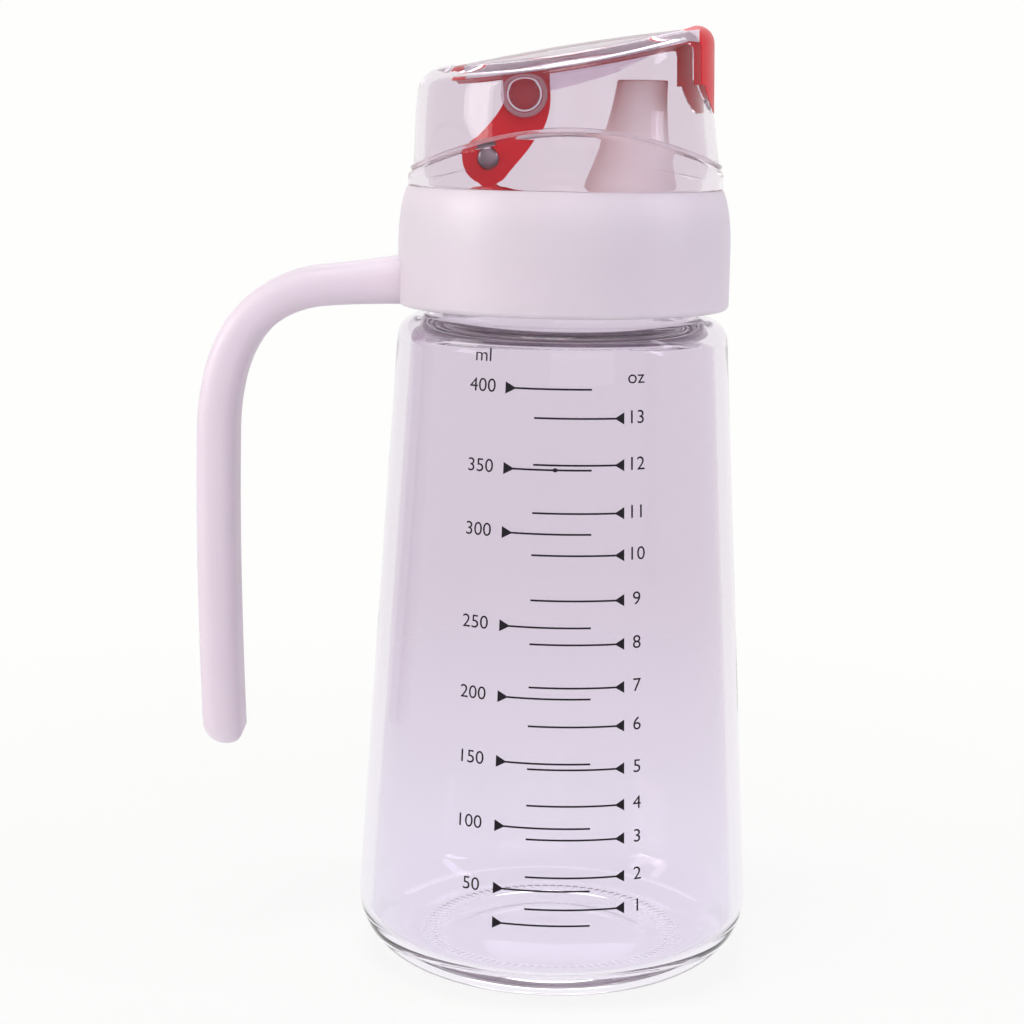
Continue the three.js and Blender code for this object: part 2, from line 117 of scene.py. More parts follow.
# Glass body, neck and mouth
SHOULDER_RADIUS = mm(32.7)
BODY_HEIGHT = mm(130.6)
BASE_CURVE = mm(13)
SHOULDER_CURVE = mm(4.2)
INNER_SHOULDER_CURVE = mm(3)
FLOOR_RISE = mm(0.8)
PUSH_UP = mm(1.8)
RING_WIDTH = mm(3)
HEEL_CURVE = mm(6)
NECK_RADIUS = mm(27)
NECK_FILLET = mm(0.8)
FINISH_RADIUS = mm(28.2)
FINISH_START = mm(133.4)
MOUTH_RADIUS = mm(24)
LIP_ROUND = mm(1)
THREAD_START = mm(136.6)
THREAD_END = mm(144.4)
THREAD_RISE = mm(1)
THREAD_WIDTH = mm(2.2)
THREAD_FADE = mm(1.2)
KNURL_DEPTH = mm(0.2)
KNURL_REACH = mm(0.5)
WALL_LEAN = math.atan((BODY_RADIUS - SHOULDER_RADIUS) / (BODY_HEIGHT - SHOULDER_CURVE - BASE_CURVE))

# Printed scale: angles in degrees round the bottle from the middle of its front, at the height of the
# 400 ml line and at the height of the lowest line, and heights of the lines in millimetres
ML_BASE, ML_TIP, ML_LINE_END, ML_LABEL = (-19.4, -17.7), (-16.3, -15.1), (8.7, 9.7), (-27.4, -25.6)
OZ_BASE, OZ_TIP, OZ_LINE_END, OZ_LABEL = (19.5, 19.7), (16.7, 17.3), (-9.7, -8.6), (23.7, 23.7)
ML_HEIGHTS = {
    "400": 119.7, "350": 104.7, "300": 92.7, "250": 75.1, "200": 61.6,
    "150": 49.2, "100": 36.8, "50": 24.7, "": 18,
}
OZ_HEIGHTS = {
    "13": 114.3, "12": 105.6, "11": 96.6, "10": 88.7, "9": 80.2, "8": 71.9, "7": 63.7,
    "6": 56.3, "5": 48.1, "4": 41.1, "3": 34.6, "2": 27.3, "1": 21.1,
}
ML_WORD_HEIGHT = mm(125.7)
OZ_WORD_HEIGHT = mm(122.1)
POINTER_HALF = mm(1.15)
LABEL_LIFT = mm(0.35)
LABEL_50_SHIFT = math.radians(1.2)
LABEL_STRETCH = 1.04
# Height of a digit as a share of the size of Blender's font
DIGIT_SHARE = 0.73
INK_THICKNESS = mm(0.04)
# A drop of ink that has run out on the 350 ml line
BLOT_ANGLE = math.radians(-2.6)
BLOT_HALF_WIDTH = mm(0.5)
BLOT_HALF_HEIGHT = mm(0.4)

# Seal and pouring insert
SEAL_INNER = mm(24.3)
SEAL_OUTER = mm(27.9)
SEAL_CORNER = mm(0.4)
INSERT_BOTTOM = SEAL_TOP + mm(0.2)
INSERT_TOP = INSERT_BOTTOM + mm(1.4)
PLUG_RADIUS = mm(23.7)
PLUG_WALL = mm(1.2)
PLUG_LEAD_IN = mm(1)
INSERT_RIM_ROUND = mm(0.4)
INSERT_RADIUS = mm(28.3)
NOZZLE_TOP_RADIUS = mm(4.95)
NOZZLE_FOOT_RADIUS = mm(11.5)
NOZZLE_WAIST_RADIUS = mm(5.7)
NOZZLE_OFFSET = mm(14.75)
NOZZLE_LEAN = 0.098
NOZZLE_WALL = mm(1.1)
NOZZLE_LIP_ROUND = mm(0.35)
DRAIN_OFFSET = mm(17)
DRAIN_RADIUS = mm(1.6)

# Collar and handle
COLLAR_BORE = mm(29.8)
COLLAR_SOCKET = mm(28.8)
COLLAR_TOP_RADIUS = mm(31.05)
COLLAR_CORNER = mm(1.1)
COLLAR_RIM_ROUND = mm(0.35)
COLLAR_TAPER_DEPTH = mm(11.8)
COLLAR_TAPER_BEND = mm(4)
SHELF_BOTTOM = INSERT_TOP + mm(0.2)
SHELF_TOP = SHELF_BOTTOM + mm(1.4)
SHELF_REACH = mm(2.4)
HANDLE_ROOT = (-(COLLAR_BORE + COLLAR_RADIUS) / 2, COLLAR_TOP - mm(18.4))
HANDLE_BEND_START = (mm(-48), COLLAR_TOP - mm(19.9))
HANDLE_BEND_CORNER = (mm(-67.5), COLLAR_TOP - mm(22.8))
HANDLE_BEND_END = (mm(-68.3), mm(107))
HANDLE_BULGE = (mm(-68.8), mm(78))
HANDLE_TIP = (mm(-67.3), HANDLE_END + mm(1.3))
HANDLE_THICKNESS = mm(7.8)
HANDLE_ROOT_THICKNESS = mm(9.4)
HANDLE_WIDTH = mm(14.4)
HANDLE_CORNER = mm(2.9)
HANDLE_TIP_ROUND = mm(4.2)
HANDLE_TIP_INNER = mm(1.8)
HANDLE_TIP_CORNER = mm(1.2)

# Clear dome
DOME_BOTTOM = COLLAR_TOP + mm(0.1)
DOME_LEDGE = DOME_BOTTOM + mm(1)
DOME_FOOT_ROUND = mm(0.3)
DOME_TOP = mm(183.7)
DOME_SHOULDER = mm(29.45)
DOME_TOP_RADIUS = mm(28.8)
DOME_SETBACK = mm(0.4)
STEP_START = mm(157.7)
STEP_TOP = mm(159.3)
ARCH_RISE = mm(7.4)
FRONT_RISE = mm(1)
FRONT_FLARE = mm(1)
DOME_WAIST = mm(170)
DOME_EDGE_ROUND = mm(4)
TOP_SLOPE = 0.176
CROWN_ALONG = mm(387)
CROWN_ACROSS = mm(110)
SPIGOT_RADIUS = mm(28.5)
SPIGOT_INNER = mm(26.9)

# Trim of the cover: raised bead on the arched step, rings and hazy rims on the bosses, thin sheets on the
# slot's walls; the whitish bead, rings and sheets are painted highlight
# The bead's whitish colour is a painted highlight along the arched step
BEAD_RADIUS = DOME_SHOULDER + mm(0.24)
BEAD_MIDDLE = STEP_TOP - mm(0.1)
BEAD_HALF_DEPTH = mm(0.35)
BEAD_HALF_HEIGHT = mm(0.5)
BOSS_RIM_INNER = mm(3.45)
BOSS_RIM_OUTER = mm(4.3)
BOSS_RIM_RISE = mm(0.14)
# The raised ring round each pin hole is whitish, a painted highlight on the hole's edge
BOSS_RING_INNER = mm(2.9)
BOSS_RING_OUTER = mm(3.3)
BOSS_RING_RISE = mm(0.5)
TRIM_LIFT = mm(0.02)
TRIM_BEVEL = mm(0.05)
# Painted highlight on the slot's walls: a thin whitish sheet set in from each wall, from under the dome's
# top down to a depth, forward to the front
SLOT_HIGHLIGHT_LIFT = mm(0.07)
SLOT_HIGHLIGHT_RISE = mm(0.19)
SLOT_HIGHLIGHT_START = mm(0.25)
SLOT_HIGHLIGHT_DEPTH = mm(2.6)
SLOT_HIGHLIGHT_FRONT = mm(24.4)

# Opening, ears and flap
HALF_OPENING = mm(14)
OPENING_REAR = mm(22.3)
OPENING_REAR_CORNER = mm(3)
OPENING_FRONT_BOTTOM = mm(170.3)
OPENING_FRONT_CORNER = mm(11)
CUT_MARGIN = mm(5)
FIT_GAP = mm(0.3)
EAR_OUTER = mm(15.8)
EAR_REACH = mm(16.5)
BOSS_RADIUS = mm(4.4)
PIN_RADIUS = mm(2.7)
PIN_END = mm(14.9)
PIN_HOLE_END = mm(15.2)
ARM_INNER = mm(11.8)
LOBE_RADIUS = mm(4.7)
TONGUE_REAR_REACH = mm(13.8)
RIB_DEPTH = mm(3)
RIB_FRONT = mm(16)
TONGUE_SINK = mm(0.9)
TONGUE_SINK_END = mm(25)
TONGUE_SINK_FADE = mm(5)
PLATE_OVERLAP = mm(1)

# The photograph's view: what it looks at, from how far, and its lens
VIEW_TARGET = Vector((AXIS_X - mm(9.43), 0, mm(90.9)))
VIEW_DISTANCE = mm(463)
VIEW_PITCH = math.radians(9.7)
VIEW_ROLL = math.radians(0.94)
VIEW_LENS = 80.86
SENSOR_WIDTH = 36

# Stage: floor, light from all round, and lamps by place, width, height, power in watts and colour. The
# floor's white part grows from a share of what is seen of it, near the bottle, to all of it further out
FLOOR_HALF = 6
FLOOR_WHITE_SHARE = 0.86
FLOOR_SHADE_START = mm(50)
FLOOR_SHADE_END = mm(300)
FILL_STRENGTH = 0.34
LIGHT_BOUNCES = 32
LAMP_AIM = Vector((AXIS_X, 0, mm(120)))
LAMPS = {
    "Window": ((-1.1, -0.35, 0.5), 0.5, 0.5, 6.3, "#fffaf5"),
    "Top softbox": ((-0.1, -0.25, 1.1), 0.4, 0.3, 3, "#ffffff"),
    "Front softbox": ((0.3, -1.25, 0.55), 1.1, 0.8, 4, "#fdf8ff"),
    "Back softbox": ((0.1, 1.2, 1.1), 0.8, 0.6, 3.5, "#fdf8ff"),
    "Side strip": ((0.8, -0.2, 0.5), 0.1, 0.5, 1.8, "#f3efff"),
}

# Points of an outline nearer than this are one, and edges sharper than this stay crisp
SAME_POINT = mm(0.002)
CRISP_EDGE = math.radians(35)

# Distance between the turning marks on the rod's ends
TURNING_PITCH = mm(0.25)

# Indices of refraction, those of the clear materials matched to the photograph
GLASS_IOR = 1.3
STYRENE_IOR = 1.25
POLYPROPYLENE_IOR = 1.49

# Sockets of a Mix node that mixes colours: two in, one out
MIX_FIRST, MIX_SECOND, MIX_RESULT = 6, 7, 2


class DispenserSizes(bpy.types.PropertyGroup):
    """Sizes of the bottle that can be changed without moving another piece."""

    glass_wall: FloatProperty(
        name="Glass wall", description="Thickness of the blown glass wall", default=mm(2.6), unit="LENGTH"
    )
    glass_floor: FloatProperty(
        name="Glass floor", description="Thickness of the heavy glass floor", default=mm(4), unit="LENGTH"
    )
    knurls: IntProperty(
        name="Knurls", description="Number of small bumps round the standing ring", default=96, min=24
    )
    thread_pitch: FloatProperty(
        name="Thread pitch", description="Rise of the neck thread in one turn", default=mm(4), unit="LENGTH"
    )
    line_width: FloatProperty(
        name="Line width", description="Width of a printed scale line", default=mm(0.36), unit="LENGTH"
    )
    digit_height: FloatProperty(
        name="Digit height", description="Height of the printed numbers", default=mm(2.6), unit="LENGTH"
    )
    dome_wall: FloatProperty(
        name="Dome wall", description="Thickness of the clear spout cover", default=mm(2), unit="LENGTH"
    )


class DispenserColours(bpy.types.PropertyGroup):
    """Colours of the materials."""

    glass: FloatVectorProperty(
        name="Glass",
        description="Faint cast of the clear glass",
        subtype="COLOR",
        default=linear("#e9e2eb"),
    )
    glass_foot: FloatVectorProperty(
        name="Glass foot",
        description="Paler cast near the base",
        subtype="COLOR",
        default=linear("#f4f0f9"),
    )
    clear_plastic: FloatVectorProperty(
        name="Clear plastic",
        description="Cast of the spout cover",
        subtype="COLOR",
        default=linear("#ebe3ea"),
    )
    # Whitish haze of the cover's trim; on the slot walls, the boss rings and the arched bead it is painted
    # highlight
    haze_and_painted_highlight: FloatVectorProperty(
        name="Haze and painted highlight",
        description="Hazy faces of the spout cover",
        subtype="COLOR",
        default=linear("#fdf6fb"),
    )
    white_plastic: FloatVectorProperty(
        name="White plastic", description="Collar and handle", subtype="COLOR", default=linear("#e7dbe5")
    )
    milky_plastic: FloatVectorProperty(
        name="Milky plastic", description="Pouring insert", subtype="COLOR", default=linear("#fbf3f0")
    )
    red_plastic: FloatVectorProperty(
        name="Red plastic", description="Flap and its arms", subtype="COLOR", default=linear("#da1c2a")
    )
    silicone: FloatVectorProperty(
        name="Silicone", description="Seal ring", subtype="COLOR", default=linear("#e9e6e2")
    )
    ink: FloatVectorProperty(
        name="Ink", description="Printed measuring scale", subtype="COLOR", default=linear("#100a14")
    )
    steel: FloatVectorProperty(
        name="Steel", description="Counterweight rod", subtype="COLOR", default=linear("#85797f")
    )


def add_node(tree, kind, settings=None, values=None, links=None):
    """Adds a node with its settings, its sockets' values, and the outputs linked to its sockets."""
    node = tree.nodes.new(kind)
    for name, value in (settings or {}).items():
        setattr(node, name, value)
    for name, value in (values or {}).items():
        node.inputs[name].default_value = value
    for name, output in (links or {}).items():
        tree.links.new(output, node.inputs[name])
    return node


def cleared_tree(owner):
    """The empty node tree of a material or world."""
    owner.use_nodes = True
    owner.node_tree.nodes.clear()
    return owner.node_tree


def new_material(name, values):
    """A material with one Principled shader. Gives the material, tree, shader and object space."""
    material = bpy.data.materials.new(name)
    tree = cleared_tree(material)
    shader = add_node(tree, "ShaderNodeBsdfPrincipled", values=values)
    add_node(tree, "ShaderNodeOutputMaterial", links={"Surface": shader.outputs["BSDF"]})
    place = add_node(tree, "ShaderNodeTexCoord").outputs["Object"]
    return material, tree, shader, place


def opaque(colour):
    """A colour with full cover."""
    return (*colour, 1)


def noise(tree, place, size, detail):
    """An output that varies at random over patches of a size."""
    values = {"Scale": 1 / size, "Detail": detail}
    return add_node(tree, "ShaderNodeTexNoise", values=values, links={"Vector": place}).outputs["Fac"]


def in_range(tree, value, values):
    """An output that moves a value into another range."""
    node = add_node(tree, "ShaderNodeMapRange", values=values, links={"Value": value})
    return node.outputs["Result"]


def mix_colours(tree, shader, share, first, second):
    """Colours the shader with a mix of two colours."""
    node = add_node(tree, "ShaderNodeMix", settings={"data_type": "RGBA"}, links={"Factor": share})
    node.inputs[MIX_FIRST].default_value = opaque(first)
    node.inputs[MIX_SECOND].default_value = opaque(second)
    tree.links.new(node.outputs[MIX_RESULT], shader.inputs["Base Color"])


def raise_bumps(tree, shader, height, strength, depth):
    """Raises the shader's surface by a height."""
    values = {"Strength": strength, "Distance": depth}
    bump = add_node(tree, "ShaderNodeBump", values=values, links={"Height": height})
    tree.links.new(bump.outputs["Normal"], shader.inputs["Normal"])


def add_relief(tree, shader, place, size, detail, strength, depth):
    """Raises random bumps of a size and depth on a surface. The moulded, etched and dusty grains of
    0.4 to 1.2 mm that use it are several times coarser than real ones, so that they show."""
    raise_bumps(tree, shader, noise(tree, place, size, detail), strength, depth)


def relief_material(name, values, *relief):
    """A material with one Principled shader and random bumps."""
    material, tree, shader, place = new_material(name, values)
    add_relief(tree, shader, place, *relief)
    return material


def blown_glass(colours):
    """Soda-lime glass, blown in a mould and fire polished: a clear, faintly lilac wall that bends its
    reflections a little, because the mould leaves it slightly wavy. The IOR is under that of real glass,
    because the photographed glass is pale and nearly without dark edges."""
    values = {"Roughness": 0, "IOR": GLASS_IOR, "Transmission Weight": 1}
    material, tree, shader, place = new_material("Fire-polished soda-lime glass", values)
    height = add_node(tree, "ShaderNodeSeparateXYZ", links={"Vector": place})
    rise = in_range(tree, height.outputs["Z"], {"From Min": mm(12), "From Max": mm(75)})
    mix_colours(tree, shader, rise, colours.glass_foot, colours.glass)
    add_relief(tree, shader, place, mm(22), 1, 0.25, mm(0.25))
    return material


def clear_styrene(colours):
    """Clear styrene plastic, moulded in a polished tool: a glassy cover with a pinkish cast and a soft
    ripple in its reflections from the flow of the plastic. Its IOR is lowered for the same reason as
    that of the glass."""
    values = {
        "Base Color": opaque(colours.clear_plastic),
        "Roughness": 0.03,
        "IOR": STYRENE_IOR,
        "Transmission Weight": 1,
    }
    return relief_material("Polished clear styrene", values, mm(9), 2, 0.2, mm(0.06))


def whitish_styrene(colours, name, clear_share):
    """Clear styrene made whitish and hazy, so that what lies behind is paler. On the slot's walls, the boss
    rings and the arched bead this whiteness is painted highlight.
    """
    values = {
        "Base Color": opaque(colours.haze_and_painted_highlight),
        "Roughness": 0.2,
        "IOR": STYRENE_IOR,
        "Transmission Weight": clear_share,
    }
    return relief_material(name, values, mm(0.6), 2, 0.3, mm(0.04))


def white_polypropylene(colours):
    """White polypropylene, moulded in a finely eroded tool: satin, with a fine grain that breaks up the
    gloss and cloudy patches where the plastic cooled slower. Light soaks through the wall, so that the
    inside of the collar glows behind the glass shoulder."""
    values = {
        "IOR": POLYPROPYLENE_IOR,
        "Subsurface Weight": 0.7,
        "Subsurface Radius": (1, 0.95, 0.95),
        "Subsurface Scale": mm(9),
    }
    material, tree, shader, place = new_material("Moulded white polypropylene", values)
    clouds = noise(tree, place, mm(26), 2)
    slower = tuple(c * 0.95 for c in colours.white_plastic)
    mix_colours(tree, shader, clouds, colours.white_plastic, slower)
    gloss = in_range(tree, clouds, {"To Min": 0.34, "To Max": 0.46})
    tree.links.new(gloss, shader.inputs["Roughness"])
    add_relief(tree, shader, place, mm(0.5), 2, 0.12, mm(0.03))
    return material


def milky_polypropylene(colours):
    """Natural polypropylene without pigment: milky, so that light soaks in and softens its shading."""
    values = {
        "Base Color": opaque(colours.milky_plastic),
        "Roughness": 0.42,
        "IOR": POLYPROPYLENE_IOR,
        "Subsurface Weight": 0.3,
        "Subsurface Radius": (1, 0.8, 0.75),
        "Subsurface Scale": mm(3),
    }
    return relief_material("Milky natural polypropylene", values, mm(0.8), 2, 0.15, mm(0.04))


def red_moulding(colours):
    """Red ABS, moulded: a deep even red with a satin gloss that varies a little over its faces."""
    values = {"Base Color": opaque(colours.red_plastic), "IOR": 1.5, "Specular IOR Level": 0.12}
    material, tree, shader, place = new_material("Moulded red ABS", values)
    gloss = in_range(tree, noise(tree, place, mm(6), 3), {"To Min": 0.26, "To Max": 0.4})
    tree.links.new(gloss, shader.inputs["Roughness"])
    add_relief(tree, shader, place, mm(0.4), 2, 0.1, mm(0.02))
    return material


def cast_silicone(colours):
    """Translucent silicone rubber, moulded: soft, matt and slightly dusty."""
    values = {
        "Base Color": opaque(colours.silicone),
        "Roughness": 0.6,
        "IOR": 1.43,
        "Subsurface Weight": 0.4,
        "Subsurface Scale": mm(2),
    }
    return relief_material("Translucent silicone", values, mm(1.2), 3, 0.2, mm(0.05))


def screen_ink(colours):
    """Screen-printing ink fired on the glass: near black with a violet cast, and slightly uneven where
    the screen's mesh left it thinner. The marks are 0.5 mm wide, coarser than real ones, so that they
    show."""
    values = {"IOR": 1.5, "Specular IOR Level": 0.2, "Roughness": 0.5}
    material, tree, shader, place = new_material("Fired screen ink", values)
    thinner = tuple(c * 1.5 for c in colours.ink)
    mix_colours(tree, shader, noise(tree, place, mm(0.5), 2), colours.ink, thinner)
    return material


def turned_steel(colours):
    """Stainless steel rod, turned: grey metal whose ends show fine rings from the cutting tool. They are
    coarser than real turning marks, so that they show. A wave of scale 1 has its rings pi / 10 apart."""
    values = {"Base Color": opaque(colours.steel), "Metallic": 1, "Roughness": 0.28}
    material, tree, shader, place = new_material("Turned stainless steel", values)
    centred = add_node(
        tree,
        "ShaderNodeMapping",
        values={"Location": (-(AXIS_X + ROD_X), 0, -ROD_Z)},
        links={"Vector": place},
    )
    rings = add_node(
        tree,
        "ShaderNodeTexWave",
        settings={"wave_type": "RINGS", "rings_direction": "Y"},
        values={"Scale": math.pi / 10 / TURNING_PITCH, "Distortion": 0.4},
        links={"Vector": centred.outputs["Vector"]},
    )
    raise_bumps(tree, shader, rings.outputs["Fac"], 0.3, mm(0.03))
    return material


def arc(centre_r, centre_z, radius, start, end, steps=12):
    """Points on an arc, with both ends."""
    angles = [start + (end - start) * i / steps for i in range(steps + 1)]
    return [(centre_r + radius * math.cos(a), centre_z + radius * math.sin(a)) for a in angles]


def curve(start, control, end, steps=12):
    """Points on a quadratic curve, with both ends."""
    points = []
    for i in range(steps + 1):
        t = i / steps
        near, middle, far = (1 - t) ** 2, 2 * t * (1 - t), t * t
        points.append(tuple(near * a + middle * b + far * c for a, b, c in zip(start, control, end)))
    return points


def run(start, end, steps):
    """Points on a straight run, with both ends."""
    return [tuple(a + (b - a) * i / steps for a, b in zip(start, end)) for i in range(steps + 1)]


def clamp(value):
    """The value, kept between 0 and 1."""
    return max(0.0, min(1.0, value))


def without_repeats(points):
    """The points without any that lies on the one before it."""
    kept = [points[0]]
    for point in points[1:]:
        if math.dist(point, kept[-1]) > SAME_POINT:
            kept.append(point)
    return kept


def new_mesh(name, vertices, faces):
    """A mesh of corners and faces."""
    mesh = bpy.data.meshes.new(name)
    mesh.from_pydata(vertices, [], faces)
    return mesh


def put_in_scene(name, data):
    """A new object of a mesh, text, lamp or camera, in the scene."""
    item = bpy.data.objects.new(name, data)
    bpy.context.scene.collection.objects.link(item)
    return item


def lathe(outline, around, closed=False, place=None):
    """A mesh of an outline of radius and height, turned around the upright axis. A point on the axis
    becomes a pole. A closed outline joins its last point to its first. place moves each corner."""
    outline = without_repeats(outline)
    vertices, rings, faces = [], [], []
    for radius, height in outline:
        first = len(vertices)
        count = 1 if radius < SAME_POINT / 2 else around
        for i in range(count):
            angle = 2 * math.pi * i / around
            reach = radius if count > 1 else 0
            point = (reach * math.cos(angle), reach * math.sin(angle), height)
            vertices.append(place(*point) if place else point)
        rings.append((first, count))
    pairs = list(zip(rings, rings[1:])) + ([(rings[-1], rings[0])] if closed else [])
    for (low, low_count), (high, high_count) in pairs:
        for i in range(around):
            j = (i + 1) % around
            corners = [low + i % low_count, low + j % low_count]
            corners += [high + j % high_count, high + i % high_count]
            faces.append(list(dict.fromkeys(corners)))
    mesh = new_mesh("turned", vertices, faces)
    tidy_normals(mesh)
    return mesh


def prism(outline, start, end, along):
    """A mesh of a flat outline between two places on an axis. The outline is drawn in the other two axes,
    in the order X, Y, Z."""
    order = {"X": (2, 0, 1), "Y": (0, 2, 1), "Z": (0, 1, 2)}[along]
    outline = without_repeats(outline)
    count = len(outline)
    vertices = []
    for level in (start, end):
        for a, b in outline:
            vertices.append(tuple((a, b, level)[k] for k in order))
    faces = [list(range(count)), list(range(count, 2 * count))]
    faces += [[i, (i + 1) % count, count + (i + 1) % count, count + i] for i in range(count)]
    mesh = new_mesh("prism", vertices, faces)
    tidy_normals(mesh)
    return mesh


def tidy_normals(mesh):
    """Turns all faces outwards."""
    work = bmesh.new()
    work.from_mesh(mesh)
    bmesh.ops.recalc_face_normals(work, faces=work.faces)
    work.to_mesh(mesh)
    work.free()


def cross_bar(radius, x, z, start, end, sides=48):
    """A round bar along Y."""
    return prism(arc(x, z, radius, 0, 2 * math.pi, sides)[:-1], start, end, "Y")


def finished_mesh(item):
    """The mesh that an object has after its modifiers, or that a text draws."""
    return bpy.data.meshes.new_from_object(item.evaluated_get(bpy.context.evaluated_depsgraph_get()))


def combine(base, steps):
    """The mesh after it is joined with, cut by or trimmed to the other meshes in turn."""
    tidy_normals(base)
    target = put_in_scene("work", base)
    tools = []
    for operation, mesh in steps:
        tidy_normals(mesh)
        tools.append(put_in_scene("tool", mesh))
        modifier = target.modifiers.new(operation, "BOOLEAN")
        modifier.operation = operation
        modifier.solver = "MANIFOLD"
        modifier.object = tools[-1]
    result = finished_mesh(target)
    for item in [target, *tools]:
        bpy.data.objects.remove(item)
    return result


def both_sides(outline, inner, outer):
    """Slabs of a side outline on the near and the far side."""
    return [prism(outline, -outer, -inner, "Y"), prism(outline, inner, outer, "Y")]


def add_piece(name, mesh, material, body, node=None):
    """Puts a mesh in the scene as a piece that rides on a body, with smooth faces and crisp edges."""
    mesh.transform(Matrix.Translation((AXIS_X, 0, 0)))
    mesh.name = name
    mesh.materials.clear()
    mesh.materials.append(material)
    piece = put_in_scene(name, mesh)
    mesh.shade_smooth()
    mesh.set_sharp_from_angle(angle=CRISP_EDGE)
    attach(piece, body)
    if node:
        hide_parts(node)
    return piece


def glass_place(sizes):
    """Moves the corners of the glass: the knurls under the standing ring and the thread on the neck."""
    ring_outer = BODY_RADIUS - BASE_CURVE
    ring_middle = ring_outer - RING_WIDTH / 2

    def place(x, y, z):
        radius, angle = math.hypot(x, y), math.atan2(y, x)
        if z < KNURL_REACH and abs(radius - ring_middle) < RING_WIDTH / 2:
            side = 1 - abs(radius - ring_middle) / (RING_WIDTH / 2)
            z += KNURL_DEPTH * (1 - math.cos(sizes.knurls * angle)) / 2 * clamp(2 * side)
        if radius > FINISH_RADIUS - mm(0.1) and THREAD_START < z < THREAD_END:
            turns = (z - THREAD_START) / sizes.thread_pitch - angle / (2 * math.pi)
            off = (turns - round(turns)) * sizes.thread_pitch
            fade = clamp((z - THREAD_START) / THREAD_FADE) * clamp((THREAD_END - z) / THREAD_FADE)
            bead = max(0.0, math.cos(math.pi * clamp(abs(off) / THREAD_WIDTH))) * THREAD_RISE * fade
            x, y = x * (1 + bead / radius), y * (1 + bead / radius)
        return x, y, z

    return place


def add_glass_bottle(sizes, colours):
    """The blown glass body: push-up, knurled ring, tapered wall, shoulder, threaded neck and mouth."""
    right = math.pi / 2
    foot = BODY_RADIUS - BASE_CURVE
    ring_inner = foot - RING_WIDTH
    wall = sizes.glass_wall
    inside_floor = PUSH_UP + sizes.glass_floor
    inside_foot = BODY_RADIUS - wall - HEEL_CURVE
    shoulder_foot = BODY_HEIGHT - SHOULDER_CURVE
    fillet = NECK_RADIUS + NECK_FILLET
    finish_foot = FINISH_START + FINISH_RADIUS - NECK_RADIUS
    lip = MOUTH_TOP - LIP_ROUND
    lean_out, lean_up = math.cos(WALL_LEAN), math.sin(WALL_LEAN)
    wall_bottom = (foot + BASE_CURVE * lean_out, BASE_CURVE + BASE_CURVE * lean_up)
    shoulder_centre = SHOULDER_RADIUS - SHOULDER_CURVE
    wall_top = (shoulder_centre + SHOULDER_CURVE * lean_out, shoulder_foot + SHOULDER_CURVE * lean_up)
    corner = INNER_SHOULDER_CURVE
    inner_top = (SHOULDER_RADIUS - wall, BODY_HEIGHT - wall - corner)
    inner_bottom = (inside_foot + HEEL_CURVE * lean_out, inside_floor + HEEL_CURVE + HEEL_CURVE * lean_up)
    outline = curve((0, PUSH_UP), (ring_inner * 0.6, PUSH_UP), (ring_inner, 0), 14)
    outline += run((ring_inner, 0), (foot, 0), 8)
    outline += arc(foot, BASE_CURVE, BASE_CURVE, -right, WALL_LEAN, 22)
    outline += run(wall_bottom, wall_top, 10)
    outline += arc(shoulder_centre, shoulder_foot, SHOULDER_CURVE, WALL_LEAN, right, 12)
    outline += arc(fillet, BODY_HEIGHT + NECK_FILLET, NECK_FILLET, -right, -2 * right, 5)
    outline += [(NECK_RADIUS, FINISH_START), (FINISH_RADIUS, finish_foot)]
    outline += run((FINISH_RADIUS, finish_foot), (FINISH_RADIUS, lip), 34)
    outline += arc(FINISH_RADIUS - LIP_ROUND, lip, LIP_ROUND, 0, right, 5)
    outline += arc(MOUTH_RADIUS + LIP_ROUND, lip, LIP_ROUND, right, 2 * right, 5)
    under = BODY_HEIGHT - wall
    outline += arc(MOUTH_RADIUS + corner, under + corner, corner, 2 * right, 3 * right, 8)
    outline += arc(inner_top[0] - corner, under - corner, corner, right, 0, 10)
    outline += run(inner_top, inner_bottom, 10)
    outline += arc(inside_foot, inside_floor + HEEL_CURVE, HEEL_CURVE, WALL_LEAN, -right, 18)
    floor_middle = (0, inside_floor + FLOOR_RISE)
    outline += curve((inside_foot, inside_floor), (inside_foot / 2, inside_floor), floor_middle, 12)
    mesh = lathe(outline, 4 * sizes.knurls, place=glass_place(sizes))
    add_piece("glass_body", mesh, blown_glass(colours), "bottle", node="glass_bottle")


def wall_radius(height):
    """Outside radius of the glass wall at a height between its base curve and its shoulder."""
    bottom = BODY_RADIUS - BASE_CURVE + BASE_CURVE * math.cos(WALL_LEAN)
    start = BASE_CURVE + BASE_CURVE * math.sin(WALL_LEAN)
    return bottom - (height - start) * math.tan(WALL_LEAN)


def on_glass(angle, height):
    """The point of the ink at an angle from the front and a height, just outside the glass."""
    radius = wall_radius(height) + INK_THICKNESS
    return radius * math.sin(angle), -radius * math.cos(angle), height


def printed_angle(ends, height):
    """An angle that runs evenly between its value at the top line and its value at the lowest one."""
    share = (mm(ML_HEIGHTS["400"]) - height) / mm(ML_HEIGHTS["400"] - ML_HEIGHTS[""])
    return math.radians(ends[0] + (ends[1] - ends[0]) * share)


def print_flat(vertices, faces, drawing, angle, height):
    """Adds a flat drawing to the print, wrapped round the glass from an angle and height."""
    first = len(vertices)
    points, corners = drawing
    for u, v in points:
        vertices.append(on_glass(angle + u / wall_radius(height), height + v))
    faces += [[first + k for k in corner] for corner in corners]


def label_drawing(text, sizes):
    """Flat points and faces of a printed number or word, centred on its origin."""
    font = bpy.data.curves.new("label", "FONT")
    font.body = text
    font.size = sizes.digit_height / DIGIT_SHARE
    font.align_x = "CENTER"
    holder = put_in_scene("label", font)
    mesh = finished_mesh(holder)
    points = [(LABEL_STRETCH * v.co.x, v.co.y - sizes.digit_height / 2) for v in mesh.vertices]
    corners = [list(p.vertices) for p in mesh.polygons]
    bpy.data.objects.remove(holder)
    bpy.data.meshes.remove(mesh)
    return points, corners


